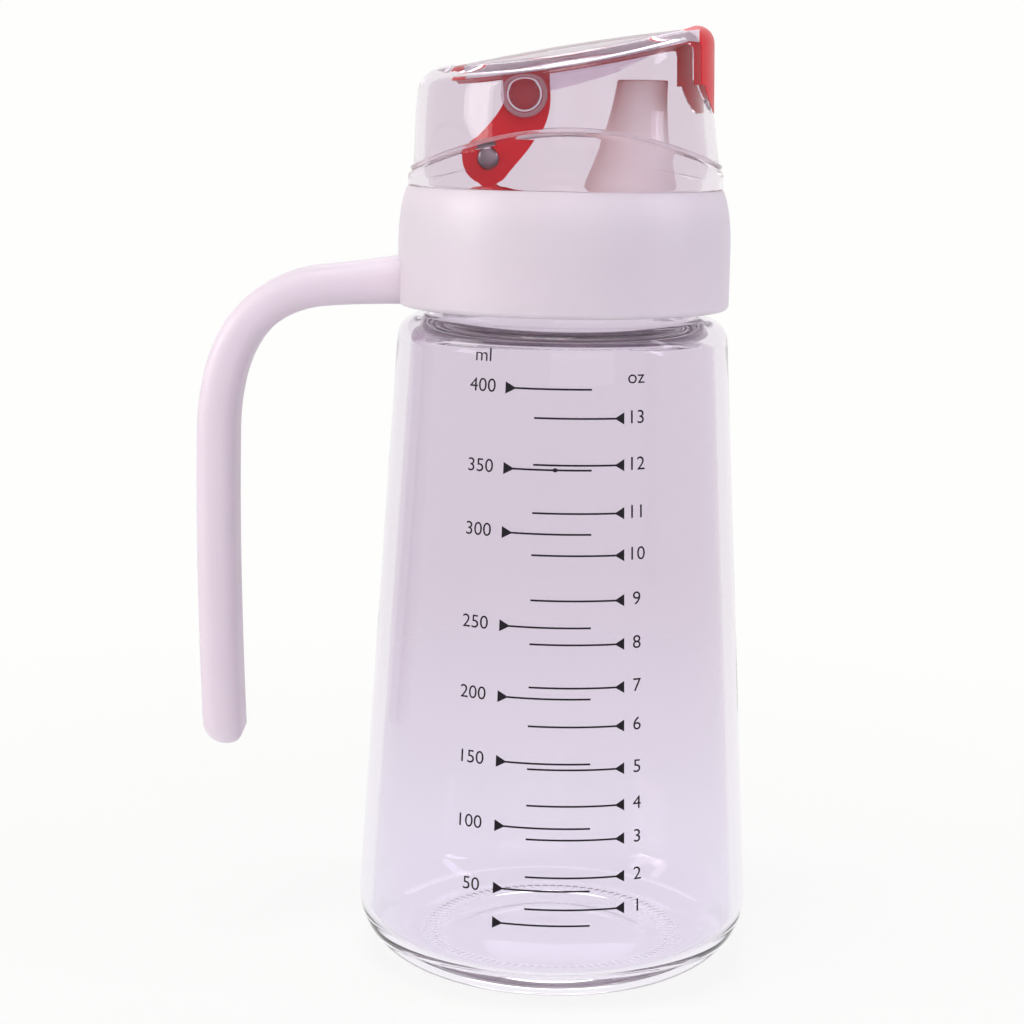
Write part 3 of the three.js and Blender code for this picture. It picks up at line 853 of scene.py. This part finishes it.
def add_printed_scale(sizes, colours):
    """The fired-on measuring scale: lines with a pointer at one end, and the numbers beside them."""
    vertices, faces = [], []
    half, steps = sizes.line_width / 2, 20
    for heights, base, tip, far, label in (
        (ML_HEIGHTS, ML_BASE, ML_TIP, ML_LINE_END, ML_LABEL),
        (OZ_HEIGHTS, OZ_BASE, OZ_TIP, OZ_LINE_END, OZ_LABEL),
    ):
        for text, value in heights.items():
            height = mm(value)
            start, neck, end = (printed_angle(ends, height) for ends in (base, tip, far))
            columns = [(start, POINTER_HALF)]
            columns += [(neck + (end - neck) * i / steps, half) for i in range(steps + 1)]
            first = len(vertices)
            for angle, reach in columns:
                vertices += [on_glass(angle, height - reach), on_glass(angle, height + reach)]
            for i in range(first, first + 2 * steps + 2, 2):
                faces.append([i, i + 2, i + 3, i + 1])
            if text:
                angle = printed_angle(label, height) + (LABEL_50_SHIFT if text == "50" else 0)
                print_flat(vertices, faces, label_drawing(text, sizes), angle, height + LABEL_LIFT)
    turns = [math.pi / 6 * i for i in range(12)]
    blot = [(BLOT_HALF_WIDTH * math.cos(a), BLOT_HALF_HEIGHT * math.sin(a)) for a in turns]
    print_flat(vertices, faces, (blot, [list(range(12))]), BLOT_ANGLE, mm(ML_HEIGHTS["350"]))
    for text, label, height in (("ml", ML_LABEL, ML_WORD_HEIGHT), ("oz", OZ_LABEL, OZ_WORD_HEIGHT)):
        print_flat(vertices, faces, label_drawing(text, sizes), printed_angle(label, height), height)
    mesh = new_mesh("print", vertices, faces)
    add_piece("printed_scale", mesh, screen_ink(colours), "bottle")


def add_seal_ring(sizes, colours):
    """The soft ring between the glass mouth and the insert."""
    corner, right = SEAL_CORNER, math.pi / 2
    outline = arc(SEAL_INNER + corner, SEAL_BOTTOM + corner, corner, -2 * right, -right, 4)
    outline += arc(SEAL_OUTER - corner, SEAL_BOTTOM + corner, corner, -right, 0, 4)
    outline += arc(SEAL_OUTER - corner, SEAL_TOP - corner, corner, 0, right, 4)
    outline += arc(SEAL_INNER + corner, SEAL_TOP - corner, corner, right, 2 * right, 4)
    mesh = lathe(outline, 160, closed=True)
    add_piece("soft_seal", mesh, cast_silicone(colours), "seal", node="seal_ring")


def nozzle_place(x, y, z):
    """Moves the nozzle off the axis and leans it towards the pouring side."""
    return x + NOZZLE_OFFSET - NOZZLE_LEAN * (NOZZLE_TOP - z), y, z


def nozzle_outline(inset, top, top_round):
    """Outline of the nozzle's outside or, with a wall as inset, of its bore."""
    tip = NOZZLE_TOP_RADIUS - inset
    foot = NOZZLE_FOOT_RADIUS - inset
    waist = (NOZZLE_WAIST_RADIUS - inset, (INSERT_TOP + NOZZLE_TOP) / 2)
    outline = [(0, INSERT_BOTTOM - inset), (foot, INSERT_BOTTOM - inset)]
    outline += curve((foot, INSERT_TOP), waist, (tip, NOZZLE_TOP - top_round), 24)
    if top_round:
        outline += arc(tip - top_round, NOZZLE_TOP - top_round, top_round, 0, math.pi / 2, 4)
    outline += [(tip - top_round, top), (0, top)]
    return outline


def add_pour_spout(sizes, colours):
    """The milky insert: plug, disc, leaning nozzle with its bore, and the hole that lets drips back."""
    rim, right = INSERT_RIM_ROUND, math.pi / 2
    plug_inner = PLUG_RADIUS - PLUG_WALL
    lead_in = (PLUG_RADIUS - PLUG_LEAD_IN / 2, PLUG_BOTTOM)
    outline = [(0, INSERT_BOTTOM), (plug_inner, INSERT_BOTTOM), (plug_inner, PLUG_BOTTOM)]
    outline += curve(lead_in, (PLUG_RADIUS, PLUG_BOTTOM), (PLUG_RADIUS, PLUG_BOTTOM + PLUG_LEAD_IN), 4)
    outline += [(PLUG_RADIUS, INSERT_BOTTOM)]
    outline += arc(INSERT_RADIUS - rim, INSERT_BOTTOM + rim, rim, -right, 0, 3)
    outline += arc(INSERT_RADIUS - rim, INSERT_TOP - rim, rim, 0, right, 3)
    outline += [(0, INSERT_TOP)]
    nozzle = nozzle_outline(0, NOZZLE_TOP, NOZZLE_LIP_ROUND)
    bore = nozzle_outline(NOZZLE_WALL, NOZZLE_TOP + mm(1), 0)
    drain = arc(-DRAIN_OFFSET, 0, DRAIN_RADIUS, 0, 2 * math.pi, 40)[:-1]
    steps = [
        ("UNION", lathe(nozzle, 96, place=nozzle_place)),
        ("DIFFERENCE", lathe(bore, 96, place=nozzle_place)),
        ("DIFFERENCE", prism(drain, INSERT_BOTTOM - mm(1), INSERT_TOP + mm(1), "Z")),
    ]
    mesh = combine(lathe(outline, 160), steps)
    milky = milky_polypropylene(colours)
    add_piece("milky_insert", mesh, milky, "cap", node="pour_spout")


def handle_stations():
    """Middle point, direction outwards across the handle, and thickness, from the handle's root on."""
    middle = run(HANDLE_ROOT, HANDLE_BEND_START, 8)
    middle += curve(HANDLE_BEND_START, HANDLE_BEND_CORNER, HANDLE_BEND_END, 36)[1:]
    middle += curve(HANDLE_BEND_END, HANDLE_BULGE, HANDLE_TIP, 20)[1:-3]
    last = middle[-1]
    share = 1 - HANDLE_TIP_ROUND / (last[1] - HANDLE_TIP[1])
    round_start = tuple(a + (b - a) * share for a, b in zip(last, HANDLE_TIP))
    middle += run(last, round_start, 6)[1:]
    for i in range(1, 15):
        share = math.sin(math.pi / 2 * i / 14)
        middle.append(tuple(a + (b - a) * share for a, b in zip(round_start, HANDLE_TIP)))
    stations = []
    for i, (x, z) in enumerate(middle):
        before = middle[max(i - 1, 0)]
        after = middle[min(i + 1, len(middle) - 1)]
        step = Vector((after[0] - before[0], after[1] - before[1])).normalized()
        flare = clamp((x - HANDLE_BEND_START[0]) / (HANDLE_ROOT[0] - HANDLE_BEND_START[0])) ** 2
        thickness = HANDLE_THICKNESS + (HANDLE_ROOT_THICKNESS - HANDLE_THICKNESS) * flare
        stations.append((x, z, (step.y, -step.x), thickness))
    return stations


def tip_inset(height, radius):
    """How far a face with a rounded end draws in at a height above the handle's tip."""
    return radius * (1 - math.sqrt(1 - (1 - clamp(height / radius)) ** 2))


def handle_mesh():
    """The handle as rounded sections along its stations, closed at both ends and rounded at its tip."""
    corner_steps = 6
    stations = handle_stations()
    tip_z = stations[-1][1]
    vertices, faces = [], []
    count = 4 * (corner_steps + 1)
    for x, z, across, thickness in stations:
        outer = tip_inset(z - tip_z, HANDLE_TIP_ROUND)
        inner = tip_inset(z - tip_z, HANDLE_TIP_INNER)
        thick = thickness / 2 - (outer + inner) / 2
        wide = HANDLE_WIDTH / 2 - tip_inset(z - tip_z, HANDLE_TIP_CORNER)
        round_by = min(HANDLE_CORNER, thick)
        for quarter in range(4):
            side_a = 1 if quarter in (0, 3) else -1
            side_y = 1 if quarter in (0, 1) else -1
            for k in range(corner_steps + 1):
                a = math.pi / 2 * (quarter + k / corner_steps)
                off = (inner - outer) / 2 + side_a * (thick - round_by) + round_by * math.cos(a)
                y = side_y * (wide - round_by) + round_by * math.sin(a)
                vertices.append((x + across[0] * off, y, z + across[1] * off))
    for s in range(len(stations) - 1):
        for i in range(count):
            j = (i + 1) % count
            faces.append([s * count + i, s * count + j, (s + 1) * count + j, (s + 1) * count + i])
    faces.append(list(range(count)))
    faces.append([(len(stations) - 1) * count + i for i in range(count)])
    return new_mesh("handle", vertices, faces)


def add_collar_with_handle(sizes, colours):
    """The white screw collar with its shelf and rim, and the handle that is moulded with it."""
    right = math.pi / 2
    rim = COLLAR_RIM_ROUND
    edge = COLLAR_RADIUS - COLLAR_CORNER
    outline = [(COLLAR_BORE, COLLAR_BOTTOM)]
    outline += arc(edge, COLLAR_BOTTOM + COLLAR_CORNER, COLLAR_CORNER, -right, 0, 7)
    taper_start = (COLLAR_RADIUS, COLLAR_TOP - COLLAR_TAPER_DEPTH)
    outline += run((COLLAR_RADIUS, COLLAR_BOTTOM + COLLAR_CORNER), taper_start, 4)
    outline += curve(
        taper_start,
        (COLLAR_RADIUS, COLLAR_TOP - COLLAR_TAPER_BEND),
        (COLLAR_TOP_RADIUS + mm(0.05), COLLAR_TOP - rim),
        14,
    )
    outline += arc(COLLAR_TOP_RADIUS - rim, COLLAR_TOP - rim, rim, 0, right, 4)
    outline += arc(COLLAR_SOCKET + rim, COLLAR_TOP - rim, rim, right, 2 * right, 4)
    outline += [
        (COLLAR_SOCKET, SHELF_TOP),
        (COLLAR_SOCKET - SHELF_REACH, SHELF_TOP),
        (COLLAR_SOCKET - SHELF_REACH, SHELF_BOTTOM),
        (COLLAR_BORE, SHELF_BOTTOM),
    ]
    outline += run((COLLAR_BORE, SHELF_BOTTOM), (COLLAR_BORE, COLLAR_BOTTOM), 6)[:-1]
    mesh = combine(lathe(outline, 192, closed=True), [("UNION", handle_mesh())])
    white = white_polypropylene(colours)
    add_piece("collar_and_handle", mesh, white, "cap", node="collar_with_handle")


def dome_top(x, y):
    """Height of the dome's sloping, gently crowned top above a point of the plan."""
    return DOME_TOP + TOP_SLOPE * x - x * x / (2 * CROWN_ALONG) - y * y / (2 * CROWN_ACROSS)


def dome_place(x, y, z):
    """Moves the corners of an upright dome: arched step, flare at the front and sloping top."""
    radius = math.hypot(x, y) or 1
    toward = x / radius
    arch = ARCH_RISE * (y / radius) ** 2 + FRONT_RISE * (1 + toward) / 2
    below = clamp((z - DOME_BOTTOM) / (STEP_START - DOME_BOTTOM))
    above = clamp((z - STEP_TOP) / (DOME_WAIST - STEP_TOP))
    stepped = clamp((z - STEP_START) / (STEP_TOP - STEP_START))
    share = clamp((z - DOME_WAIST) / (DOME_TOP - DOME_EDGE_ROUND - DOME_WAIST))
    grow = 1 + FRONT_FLARE * max(0, toward) * stepped * (1 - above) / radius
    height = z + arch * below * (1 - above) + share * (dome_top(x, y) - DOME_TOP)
    return x * grow - DOME_SETBACK * stepped, y * grow, height


def dome_shell(sizes, place=dome_place):
    """The closed cover with its spigot, before the opening is cut."""
    right = math.pi / 2
    wall = sizes.dome_wall
    fillet_start = DOME_TOP - DOME_EDGE_ROUND
    waist_radius = (DOME_SHOULDER + DOME_TOP_RADIUS) / 2
    flat = DOME_TOP_RADIUS - DOME_EDGE_ROUND
    cavity = DOME_SHOULDER - wall
    inner_round = DOME_EDGE_ROUND - wall
    foot_round = DOME_FOOT_ROUND
    outline = [(SPIGOT_INNER, SPIGOT_BOTTOM), (SPIGOT_RADIUS, SPIGOT_BOTTOM)]
    outline += [(SPIGOT_RADIUS, DOME_BOTTOM)]
    outline += arc(DOME_SKIRT - foot_round, DOME_BOTTOM + foot_round, foot_round, -right, 0, 3)
    outline += run((DOME_SKIRT, DOME_BOTTOM + foot_round), (DOME_SKIRT, STEP_START), 4)
    for i in range(1, 12):
        t = i / 12
        radius = DOME_SKIRT + (DOME_SHOULDER - DOME_SKIRT) * t * t * (3 - 2 * t)
        outline.append((radius, STEP_START + (STEP_TOP - STEP_START) * t))
    outline += run((DOME_SHOULDER, STEP_TOP), (waist_radius, DOME_WAIST), 10)
    outline += run((waist_radius, DOME_WAIST), (DOME_TOP_RADIUS, fillet_start), 6)
    outline += arc(flat, fillet_start, DOME_EDGE_ROUND, 0, right, 14)
    outline += run((flat, DOME_TOP), (0, DOME_TOP), 14)
    outline += run((0, DOME_TOP - wall), (flat, DOME_TOP - wall), 14)
    outline += arc(flat, fillet_start, inner_round, right, 0, 8)
    outline += run((DOME_TOP_RADIUS - wall, fillet_start), (waist_radius - wall, DOME_WAIST), 6)
    outline += run((waist_radius - wall, DOME_WAIST), (cavity, STEP_TOP), 10)
    outline += run((cavity, STEP_TOP), (cavity, DOME_LEDGE), 4)
    outline += [(SPIGOT_INNER, DOME_LEDGE)]
    return lathe(outline, 288, closed=True, place=place)


def flap_place(x, y, z):
    """As for the dome, but with the tongue sunk a little under the cover's top up to the visor."""
    x, y, height = dome_place(x, y, z)
    share = clamp((z - DOME_WAIST) / (DOME_TOP - DOME_EDGE_ROUND - DOME_WAIST))
    ahead = clamp(1 + (x - TONGUE_SINK_END) / TONGUE_SINK_FADE)
    return x, y, height - TONGUE_SINK * share * (1 - ahead * ahead * (3 - 2 * ahead))


def opening_space(gap):
    """The slot along the top and the rounded window in the front, smaller by a gap, as two meshes."""
    right = math.pi / 2
    half = HALF_OPENING - gap
    rear = gap - OPENING_REAR
    front = DOME_SKIRT + CUT_MARGIN
    above = dome_top(front, 0) + CUT_MARGIN
    corner = OPENING_REAR_CORNER
    slot = [(front, -half), (front, half)]
    slot += arc(rear + corner, half - corner, corner, right, 2 * right, 10)
    slot += arc(rear + corner, corner - half, corner, 2 * right, 3 * right, 10)
    bottom = OPENING_FRONT_BOTTOM + gap
    curl = OPENING_FRONT_CORNER - gap
    window = [(half, above), (-half, above)]
    window += arc(curl - half, bottom + curl, curl, 2 * right, 3 * right, 20)
    window += arc(half - curl, bottom + curl, curl, 3 * right, 4 * right, 20)
    slot_mesh = prism(slot, OPENING_FRONT_BOTTOM + OPENING_FRONT_CORNER / 2, above, "Z")
    window_mesh = prism(window, DOME_TOP_RADIUS - HALF_OPENING, front, "X")
    return combine(slot_mesh, [("UNION", window_mesh)])


def ear_outline():
    """Side outline of an ear: a round boss at the hinge that runs up into the dome's top plate."""
    left, right = PIVOT_X - BOSS_RADIUS, PIVOT_X + BOSS_RADIUS
    notch = (right + mm(1.2), PIVOT_Z + mm(1))
    far_end, near_end = ((x, dome_top(x, HALF_OPENING) - PLATE_OVERLAP) for x in (EAR_REACH, left))
    tip = (EAR_REACH, far_end[1] - mm(2))
    outline = run(far_end, near_end, 6)
    outline += arc(PIVOT_X, PIVOT_Z, BOSS_RADIUS, math.pi, 2 * math.pi, 40)
    outline += curve((right, PIVOT_Z), (right, PIVOT_Z + mm(1)), notch, 8)
    outline += curve(notch, (EAR_REACH - mm(3), PIVOT_Z + mm(5)), tip, 20)[1:]
    return outline


def laid_across(mesh, x, z):
    """A lathed mesh, laid down from the upright axis to one along Y."""
    mesh.transform(Matrix.Translation((x, 0, z)) @ Matrix.Rotation(-math.pi / 2, 4, "X"))
    return mesh


def joined(meshes):
    """One mesh of several."""
    work = bmesh.new()
    for mesh in meshes:
        work.from_mesh(mesh)
    mesh = bpy.data.meshes.new("joined")
    work.to_mesh(mesh)
    work.free()
    tidy_normals(mesh)
    return mesh


def boss_trim(inner, outer, outer_bevel, rise):
    """A raised ring on each of the two bosses, as one mesh."""
    rings = []
    for side in (-1, 1):
        foot, top = side * (EAR_OUTER + TRIM_LIFT), side * (EAR_OUTER + rise)
        section = [(inner, foot), (inner + TRIM_BEVEL, top), (outer - outer_bevel, top), (outer, foot)]
        rings.append(laid_across(lathe(section, 64, closed=True), PIVOT_X, PIVOT_Z))
    return joined(rings)


def slot_highlight_outline():
    """Side outline of the painted highlight sheet on the slot's wall: a band that follows the dome's top
    down to the front.
    """
    xs = [x for x, _ in run((OPENING_REAR_CORNER - OPENING_REAR, 0), (SLOT_HIGHLIGHT_FRONT, 0), 16)]
    upper = [(x, dome_top(x, HALF_OPENING) - SLOT_HIGHLIGHT_START) for x in xs]
    lower = [(x, dome_top(x, HALF_OPENING) - SLOT_HIGHLIGHT_DEPTH) for x in reversed(xs)]
    return upper + lower


def add_whitish_trim(sizes, colours):
    """The ring and hazy rim on each boss, thin sheets on the slot's walls, and the bead on the arched step.
    The whitish rings, sheets and bead are painted highlight.
    """
    walls = both_sides(slot_highlight_outline(), HALF_OPENING - SLOT_HIGHLIGHT_RISE, HALF_OPENING - SLOT_HIGHLIGHT_LIFT)
    rims = boss_trim(BOSS_RIM_INNER, BOSS_RIM_OUTER, TRIM_BEVEL, BOSS_RIM_RISE)
    rings = boss_trim(BOSS_RING_INNER, BOSS_RING_OUTER, 2 * TRIM_BEVEL, BOSS_RING_RISE)
    turns = [2 * math.pi * i / 16 for i in range(16)]
    section = [
        (BEAD_RADIUS + BEAD_HALF_DEPTH * math.cos(a), BEAD_MIDDLE + BEAD_HALF_HEIGHT * math.sin(a))
        for a in turns
    ]
    bead = lathe(section, 288, closed=True, place=dome_place)
    # Whitish pieces: on the slot walls, the boss rings and the arched bead their pale colour is painted
    # highlight; the boss rims are hazy
    for name, mesh, material, clear_share in (
        ("slot_wall_highlights", joined(walls), "Eroded clear styrene", 0.25),
        ("hazy_boss_rims", rims, "Hazy clear styrene", 0.85),
        ("boss_ring_highlights", rings, "Stress-whitened clear styrene", 0.25),
        ("arched_bead", bead, "Flow-marked clear styrene", 0.86),
    ):
        add_piece(name, mesh, whitish_styrene(colours, material, clear_share), "cap")


def add_clear_dome(sizes, colours):
    """The clear cover with its arched step, opening, two ears with bosses, and spigot."""
    steps = [("DIFFERENCE", opening_space(0))]
    steps += [("UNION", slab) for slab in both_sides(ear_outline(), HALF_OPENING, EAR_OUTER)]
    pin_hole = cross_bar(PIN_RADIUS + FIT_GAP, PIVOT_X, PIVOT_Z, -PIN_HOLE_END, PIN_HOLE_END)
    steps.append(("DIFFERENCE", pin_hole))
    mesh = combine(dome_shell(sizes), steps)
    add_piece("spout_cover", mesh, clear_styrene(colours), "cap", node="clear_dome")


def arm_outline():
    """Side outline of an arm: down from the tongue past the hinge, then back to the lobe with the rod."""
    left, right = PIVOT_X - BOSS_RADIUS, PIVOT_X + BOSS_RADIUS
    lobe_start, lobe_end = 0.65 * math.pi, 1.72 * math.pi
    lobe = arc(ROD_X, ROD_Z, LOBE_RADIUS, lobe_start, lobe_end, 40)
    heel = (left + mm(0.6), PIVOT_Z - mm(1.3))
    knee = (PIVOT_X + mm(2.7), PIVOT_Z - mm(8.2))
    front = (right + mm(0.5), PIVOT_Z)
    outline = [(x, dome_top(x, ARM_OUTER) - PLATE_OVERLAP) for x in (right, left)] + [heel]
    outline += curve(heel, (left, PIVOT_Z - mm(3.5)), lobe[0], 12)[1:]
    outline += lobe[1:]
    outline += curve(lobe[-1], (PIVOT_X - mm(0.5), ROD_Z + mm(0.2)), knee, 12)[1:]
    outline += curve(knee, (right + mm(0.7), PIVOT_Z - mm(4.4)), front, 10)[1:]
    return outline


def rib_outline():
    """Side outline of the stiffening rib along each edge of the tongue."""
    rear = OPENING_REAR_CORNER + FIT_GAP - OPENING_REAR
    ramp = RIB_FRONT - mm(2)

    def under(x, depth):
        return x, dome_top(x, ARM_OUTER) - depth

    outline = [under(rear, PLATE_OVERLAP), under(rear, mm(2)), under(rear + mm(1), RIB_DEPTH)]
    outline += [under(x, RIB_DEPTH) for x, _ in run((rear + mm(1), 0), (ramp, 0), 10)][1:]
    outline += [under(RIB_FRONT, mm(2)), under(RIB_FRONT, PLATE_OVERLAP)]
    return outline


def add_red_flap(sizes, colours):
    """The red flap: tongue and visor that fill the opening, two arms with lobes, ribs and hinge pins."""
    low, high, far = PIVOT_Z - mm(20), PIVOT_Z + mm(40), DOME_SKIRT + mm(10)
    keep = [(far, low), (far, high), (PIVOT_X, high)]
    keep += arc(PIVOT_X, PIVOT_Z, TONGUE_REAR_REACH, math.pi / 2, 1.5 * math.pi, 40)
    keep += [(PIVOT_X, low)]
    steps = [
        ("INTERSECT", opening_space(FIT_GAP)),
        ("INTERSECT", prism(keep, -2 * HALF_OPENING, 2 * HALF_OPENING, "Y")),
    ]
    for outline in (arm_outline(), rib_outline()):
        steps += [("UNION", slab) for slab in both_sides(outline, ARM_INNER, ARM_OUTER)]
    pin = arc(PIVOT_X, PIVOT_Z, PIN_RADIUS, 0, 2 * math.pi, 48)[:-1]
    steps += [("UNION", slab) for slab in both_sides(pin, ARM_INNER + mm(0.5), PIN_END)]
    rod_hole = cross_bar(ROD_RADIUS + mm(0.05), ROD_X, ROD_Z, -2 * HALF_OPENING, 2 * HALF_OPENING)
    steps.append(("DIFFERENCE", rod_hole))
    mesh = combine(dome_shell(sizes, flap_place), steps)
    add_piece("weighted_flap", mesh, red_moulding(colours), "flap", node="red_flap")


def add_counterweight_rod(sizes, colours):
    """The steel rod across the arms, with domed ends."""
    dome = mm(0.7)
    outline = [(0, -ROD_HALF)]
    outline += curve((0, -ROD_HALF), (ROD_RADIUS * 0.9, -ROD_HALF), (ROD_RADIUS, dome - ROD_HALF), 12)[1:]
    outline += run((ROD_RADIUS, dome - ROD_HALF), (ROD_RADIUS, ROD_HALF - dome), 6)[1:]
    outline += curve((ROD_RADIUS, ROD_HALF - dome), (ROD_RADIUS * 0.9, ROD_HALF), (0, ROD_HALF), 12)[1:]
    mesh = laid_across(lathe(outline, 96), ROD_X, ROD_Z)
    add_piece("steel_weight", mesh, turned_steel(colours), "flap", node="counterweight_rod")


def calculate(tree, operation, first, second):
    """An output that a math node makes of two others."""
    node = add_node(tree, "ShaderNodeMath", settings={"operation": operation})
    tree.links.new(first, node.inputs[0])
    tree.links.new(second, node.inputs[1])
    return node.outputs["Value"]


def surface_mix(tree, kind, share, first, second):
    """Ends a tree with a mix of two shaders."""
    node = add_node(tree, "ShaderNodeMixShader")
    for socket, output in zip(node.inputs, (share, first, second)):
        tree.links.new(output, socket)
    add_node(tree, kind, links={"Surface": node.outputs["Shader"]})


def seen_directly(tree):
    """An output that is 1 for rays from the camera, a reflection or a clear material, and else 0."""
    rays = add_node(tree, "ShaderNodeLightPath").outputs
    either = calculate(tree, "MAXIMUM", rays["Is Camera Ray"], rays["Is Glossy Ray"])
    return calculate(tree, "MAXIMUM", either, rays["Is Transmission Ray"])


def stage_floor():
    """A pale studio floor. Most of what is seen of it is plain white, and the rest keeps the shadow."""
    corners = [(x * FLOOR_HALF, y * FLOOR_HALF, 0) for x, y in ((-1, -1), (1, -1), (1, 1), (-1, 1))]
    mesh = new_mesh("studio_floor", corners, [[0, 1, 2, 3]])
    material = bpy.data.materials.new("White studio paper")
    tree = cleared_tree(material)
    grey, plain = opaque(linear("#f6f6f5")), opaque(linear("#fefefd"))
    paper = add_node(tree, "ShaderNodeBsdfDiffuse", values={"Color": grey})
    white = add_node(tree, "ShaderNodeEmission", values={"Color": plain, "Strength": 1})
    place = add_node(tree, "ShaderNodeTexCoord").outputs["Object"]
    away = add_node(
        tree, "ShaderNodeVectorMath", settings={"operation": "LENGTH"}, links={"Vector": place}
    )
    ranges = {"From Min": FLOOR_SHADE_START, "From Max": FLOOR_SHADE_END, "To Min": FLOOR_WHITE_SHARE}
    fade = in_range(tree, away.outputs["Value"], ranges)
    share = calculate(tree, "MULTIPLY", seen_directly(tree), fade)
    ends = (paper.outputs["BSDF"], white.outputs["Emission"])
    surface_mix(tree, "ShaderNodeOutputMaterial", share, *ends)
    mesh.materials.append(material)
    floor = put_in_scene("studio_floor", mesh)
    floor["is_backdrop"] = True


def stage_world():
    """Soft light from all round, and a white background where the camera or a clear piece looks at it."""
    world = bpy.data.worlds.new("Studio")
    bpy.context.scene.world = world
    tree = cleared_tree(world)
    soft, plain = opaque(linear("#f4f0fb")), opaque(linear("#fefefd"))
    fill = add_node(tree, "ShaderNodeBackground", values={"Color": soft, "Strength": FILL_STRENGTH})
    white = add_node(tree, "ShaderNodeBackground", values={"Color": plain, "Strength": 1})
    ends = (fill.outputs["Background"], white.outputs["Background"])
    surface_mix(tree, "ShaderNodeOutputWorld", seen_directly(tree), *ends)


def stage_lamp(name, place, width, height, power, colour):
    """A rectangular soft lamp that points at the middle of the bottle."""
    lamp = bpy.data.lights.new(name, "AREA")
    lamp.shape = "RECTANGLE"
    lamp.size = width
    lamp.size_y = height
    lamp.energy = power
    lamp.color = linear(colour)
    holder = put_in_scene(name, lamp)
    holder.location = place
    aim = LAMP_AIM - Vector(place)
    holder.rotation_euler = aim.to_track_quat("-Z", "Y").to_euler()


def stage_camera():
    """The camera at the photograph's place, pitch and roll."""
    data = bpy.data.cameras.new("Photograph")
    data.lens = VIEW_LENS
    data.sensor_width = SENSOR_WIDTH
    data.clip_start = mm(10)
    camera = put_in_scene("Photograph", data)
    turn = Matrix.Rotation(math.pi / 2 - VIEW_PITCH, 4, "X") @ Matrix.Rotation(VIEW_ROLL, 4, "Z")
    back = Vector((0, -math.cos(VIEW_PITCH), math.sin(VIEW_PITCH)))
    camera.matrix_world = Matrix.Translation(VIEW_TARGET + back * VIEW_DISTANCE) @ turn
    bpy.context.scene.camera = camera


def build_stage():
    """Floor, background, lamps and camera, with plain colour management. Light that runs round inside the
    thick glass of the base needs more bounces than usual to come out again."""
    bpy.context.scene.view_settings.view_transform = "Standard"
    paths = bpy.context.scene.cycles
    paths.max_bounces = LIGHT_BOUNCES
    paths.glossy_bounces = LIGHT_BOUNCES
    paths.transmission_bounces = LIGHT_BOUNCES
    stage_floor()
    stage_world()
    for name, settings in LAMPS.items():
        stage_lamp(name, *settings)
    stage_camera()


def build(context, *steps):
    """Runs the functions that add pieces, with the sizes and colours of the scene."""
    for step in steps:
        step(context.scene.dispenser_sizes, context.scene.dispenser_colours)
    return {"FINISHED"}


class DISPENSER_OT_glass_bottle(bpy.types.Operator):
    """Adds the blown glass body"""

    bl_idname = "dispenser.glass_bottle"
    bl_label = "Glass bottle"

    def execute(self, context):
        return build(context, add_glass_bottle)


class DISPENSER_OT_printed_scale(bpy.types.Operator):
    """Adds the printed measuring scale"""

    bl_idname = "dispenser.printed_scale"
    bl_label = "Printed scale"

    def execute(self, context):
        return build(context, add_printed_scale)


class DISPENSER_OT_seal_and_spout(bpy.types.Operator):
    """Adds the soft seal and the milky pouring insert"""

    bl_idname = "dispenser.seal_and_spout"
    bl_label = "Seal and pouring insert"

    def execute(self, context):
        return build(context, add_seal_ring, add_pour_spout)


class DISPENSER_OT_collar(bpy.types.Operator):
    """Adds the white collar with its handle"""

    bl_idname = "dispenser.collar"
    bl_label = "Collar with handle"

    def execute(self, context):
        return build(context, add_collar_with_handle)


class DISPENSER_OT_dome(bpy.types.Operator):
    """Adds the clear spout cover"""

    bl_idname = "dispenser.dome"
    bl_label = "Clear cover"

    def execute(self, context):
        return build(context, add_clear_dome, add_whitish_trim)


class DISPENSER_OT_flap(bpy.types.Operator):
    """Adds the red flap and its steel weight"""

    bl_idname = "dispenser.flap"
    bl_label = "Flap and weight"

    def execute(self, context):
        return build(context, add_red_flap, add_counterweight_rod)


class DISPENSER_OT_stage(bpy.types.Operator):
    """Adds the floor, background, lamps and camera"""

    bl_idname = "dispenser.stage"
    bl_label = "Stage"

    def execute(self, context):
        build_stage()
        return {"FINISHED"}


OPERATORS = (
    DISPENSER_OT_glass_bottle,
    DISPENSER_OT_printed_scale,
    DISPENSER_OT_seal_and_spout,
    DISPENSER_OT_collar,
    DISPENSER_OT_dome,
    DISPENSER_OT_flap,
    DISPENSER_OT_stage,
)


class DISPENSER_PT_panel(bpy.types.Panel):
    """Lists the steps that build the dispenser"""

    bl_idname = "DISPENSER_PT_panel"
    bl_label = "Oil dispenser"
    bl_space_type = "VIEW_3D"
    bl_region_type = "UI"
    bl_category = "Dispenser"

    def draw(self, context):
        for operator in OPERATORS:
            self.layout.operator(operator.bl_idname)


CLASSES = (DispenserSizes, DispenserColours, *OPERATORS, DISPENSER_PT_panel)


def register():
    """Makes the sizes, colours, operators and panel known to Blender."""
    for item in CLASSES:
        bpy.utils.register_class(item)
    bpy.types.Scene.dispenser_sizes = PointerProperty(type=DispenserSizes)
    bpy.types.Scene.dispenser_colours = PointerProperty(type=DispenserColours)


def unregister():
    """Takes them out again."""
    del bpy.types.Scene.dispenser_colours
    del bpy.types.Scene.dispenser_sizes
    for item in reversed(CLASSES):
        bpy.utils.unregister_class(item)


def main():
    """Builds every piece and the stage."""
    register()
    for name in ("glass_bottle", "printed_scale", "seal_and_spout", "collar", "dome", "flap", "stage"):
        getattr(bpy.ops.dispenser, name)()
    boxes = {"cad": cad_box, "visual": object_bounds()}
    {key: [list(corner) for corner in box] for key, box in boxes.items()}


if __name__ == "__main__":
    main()
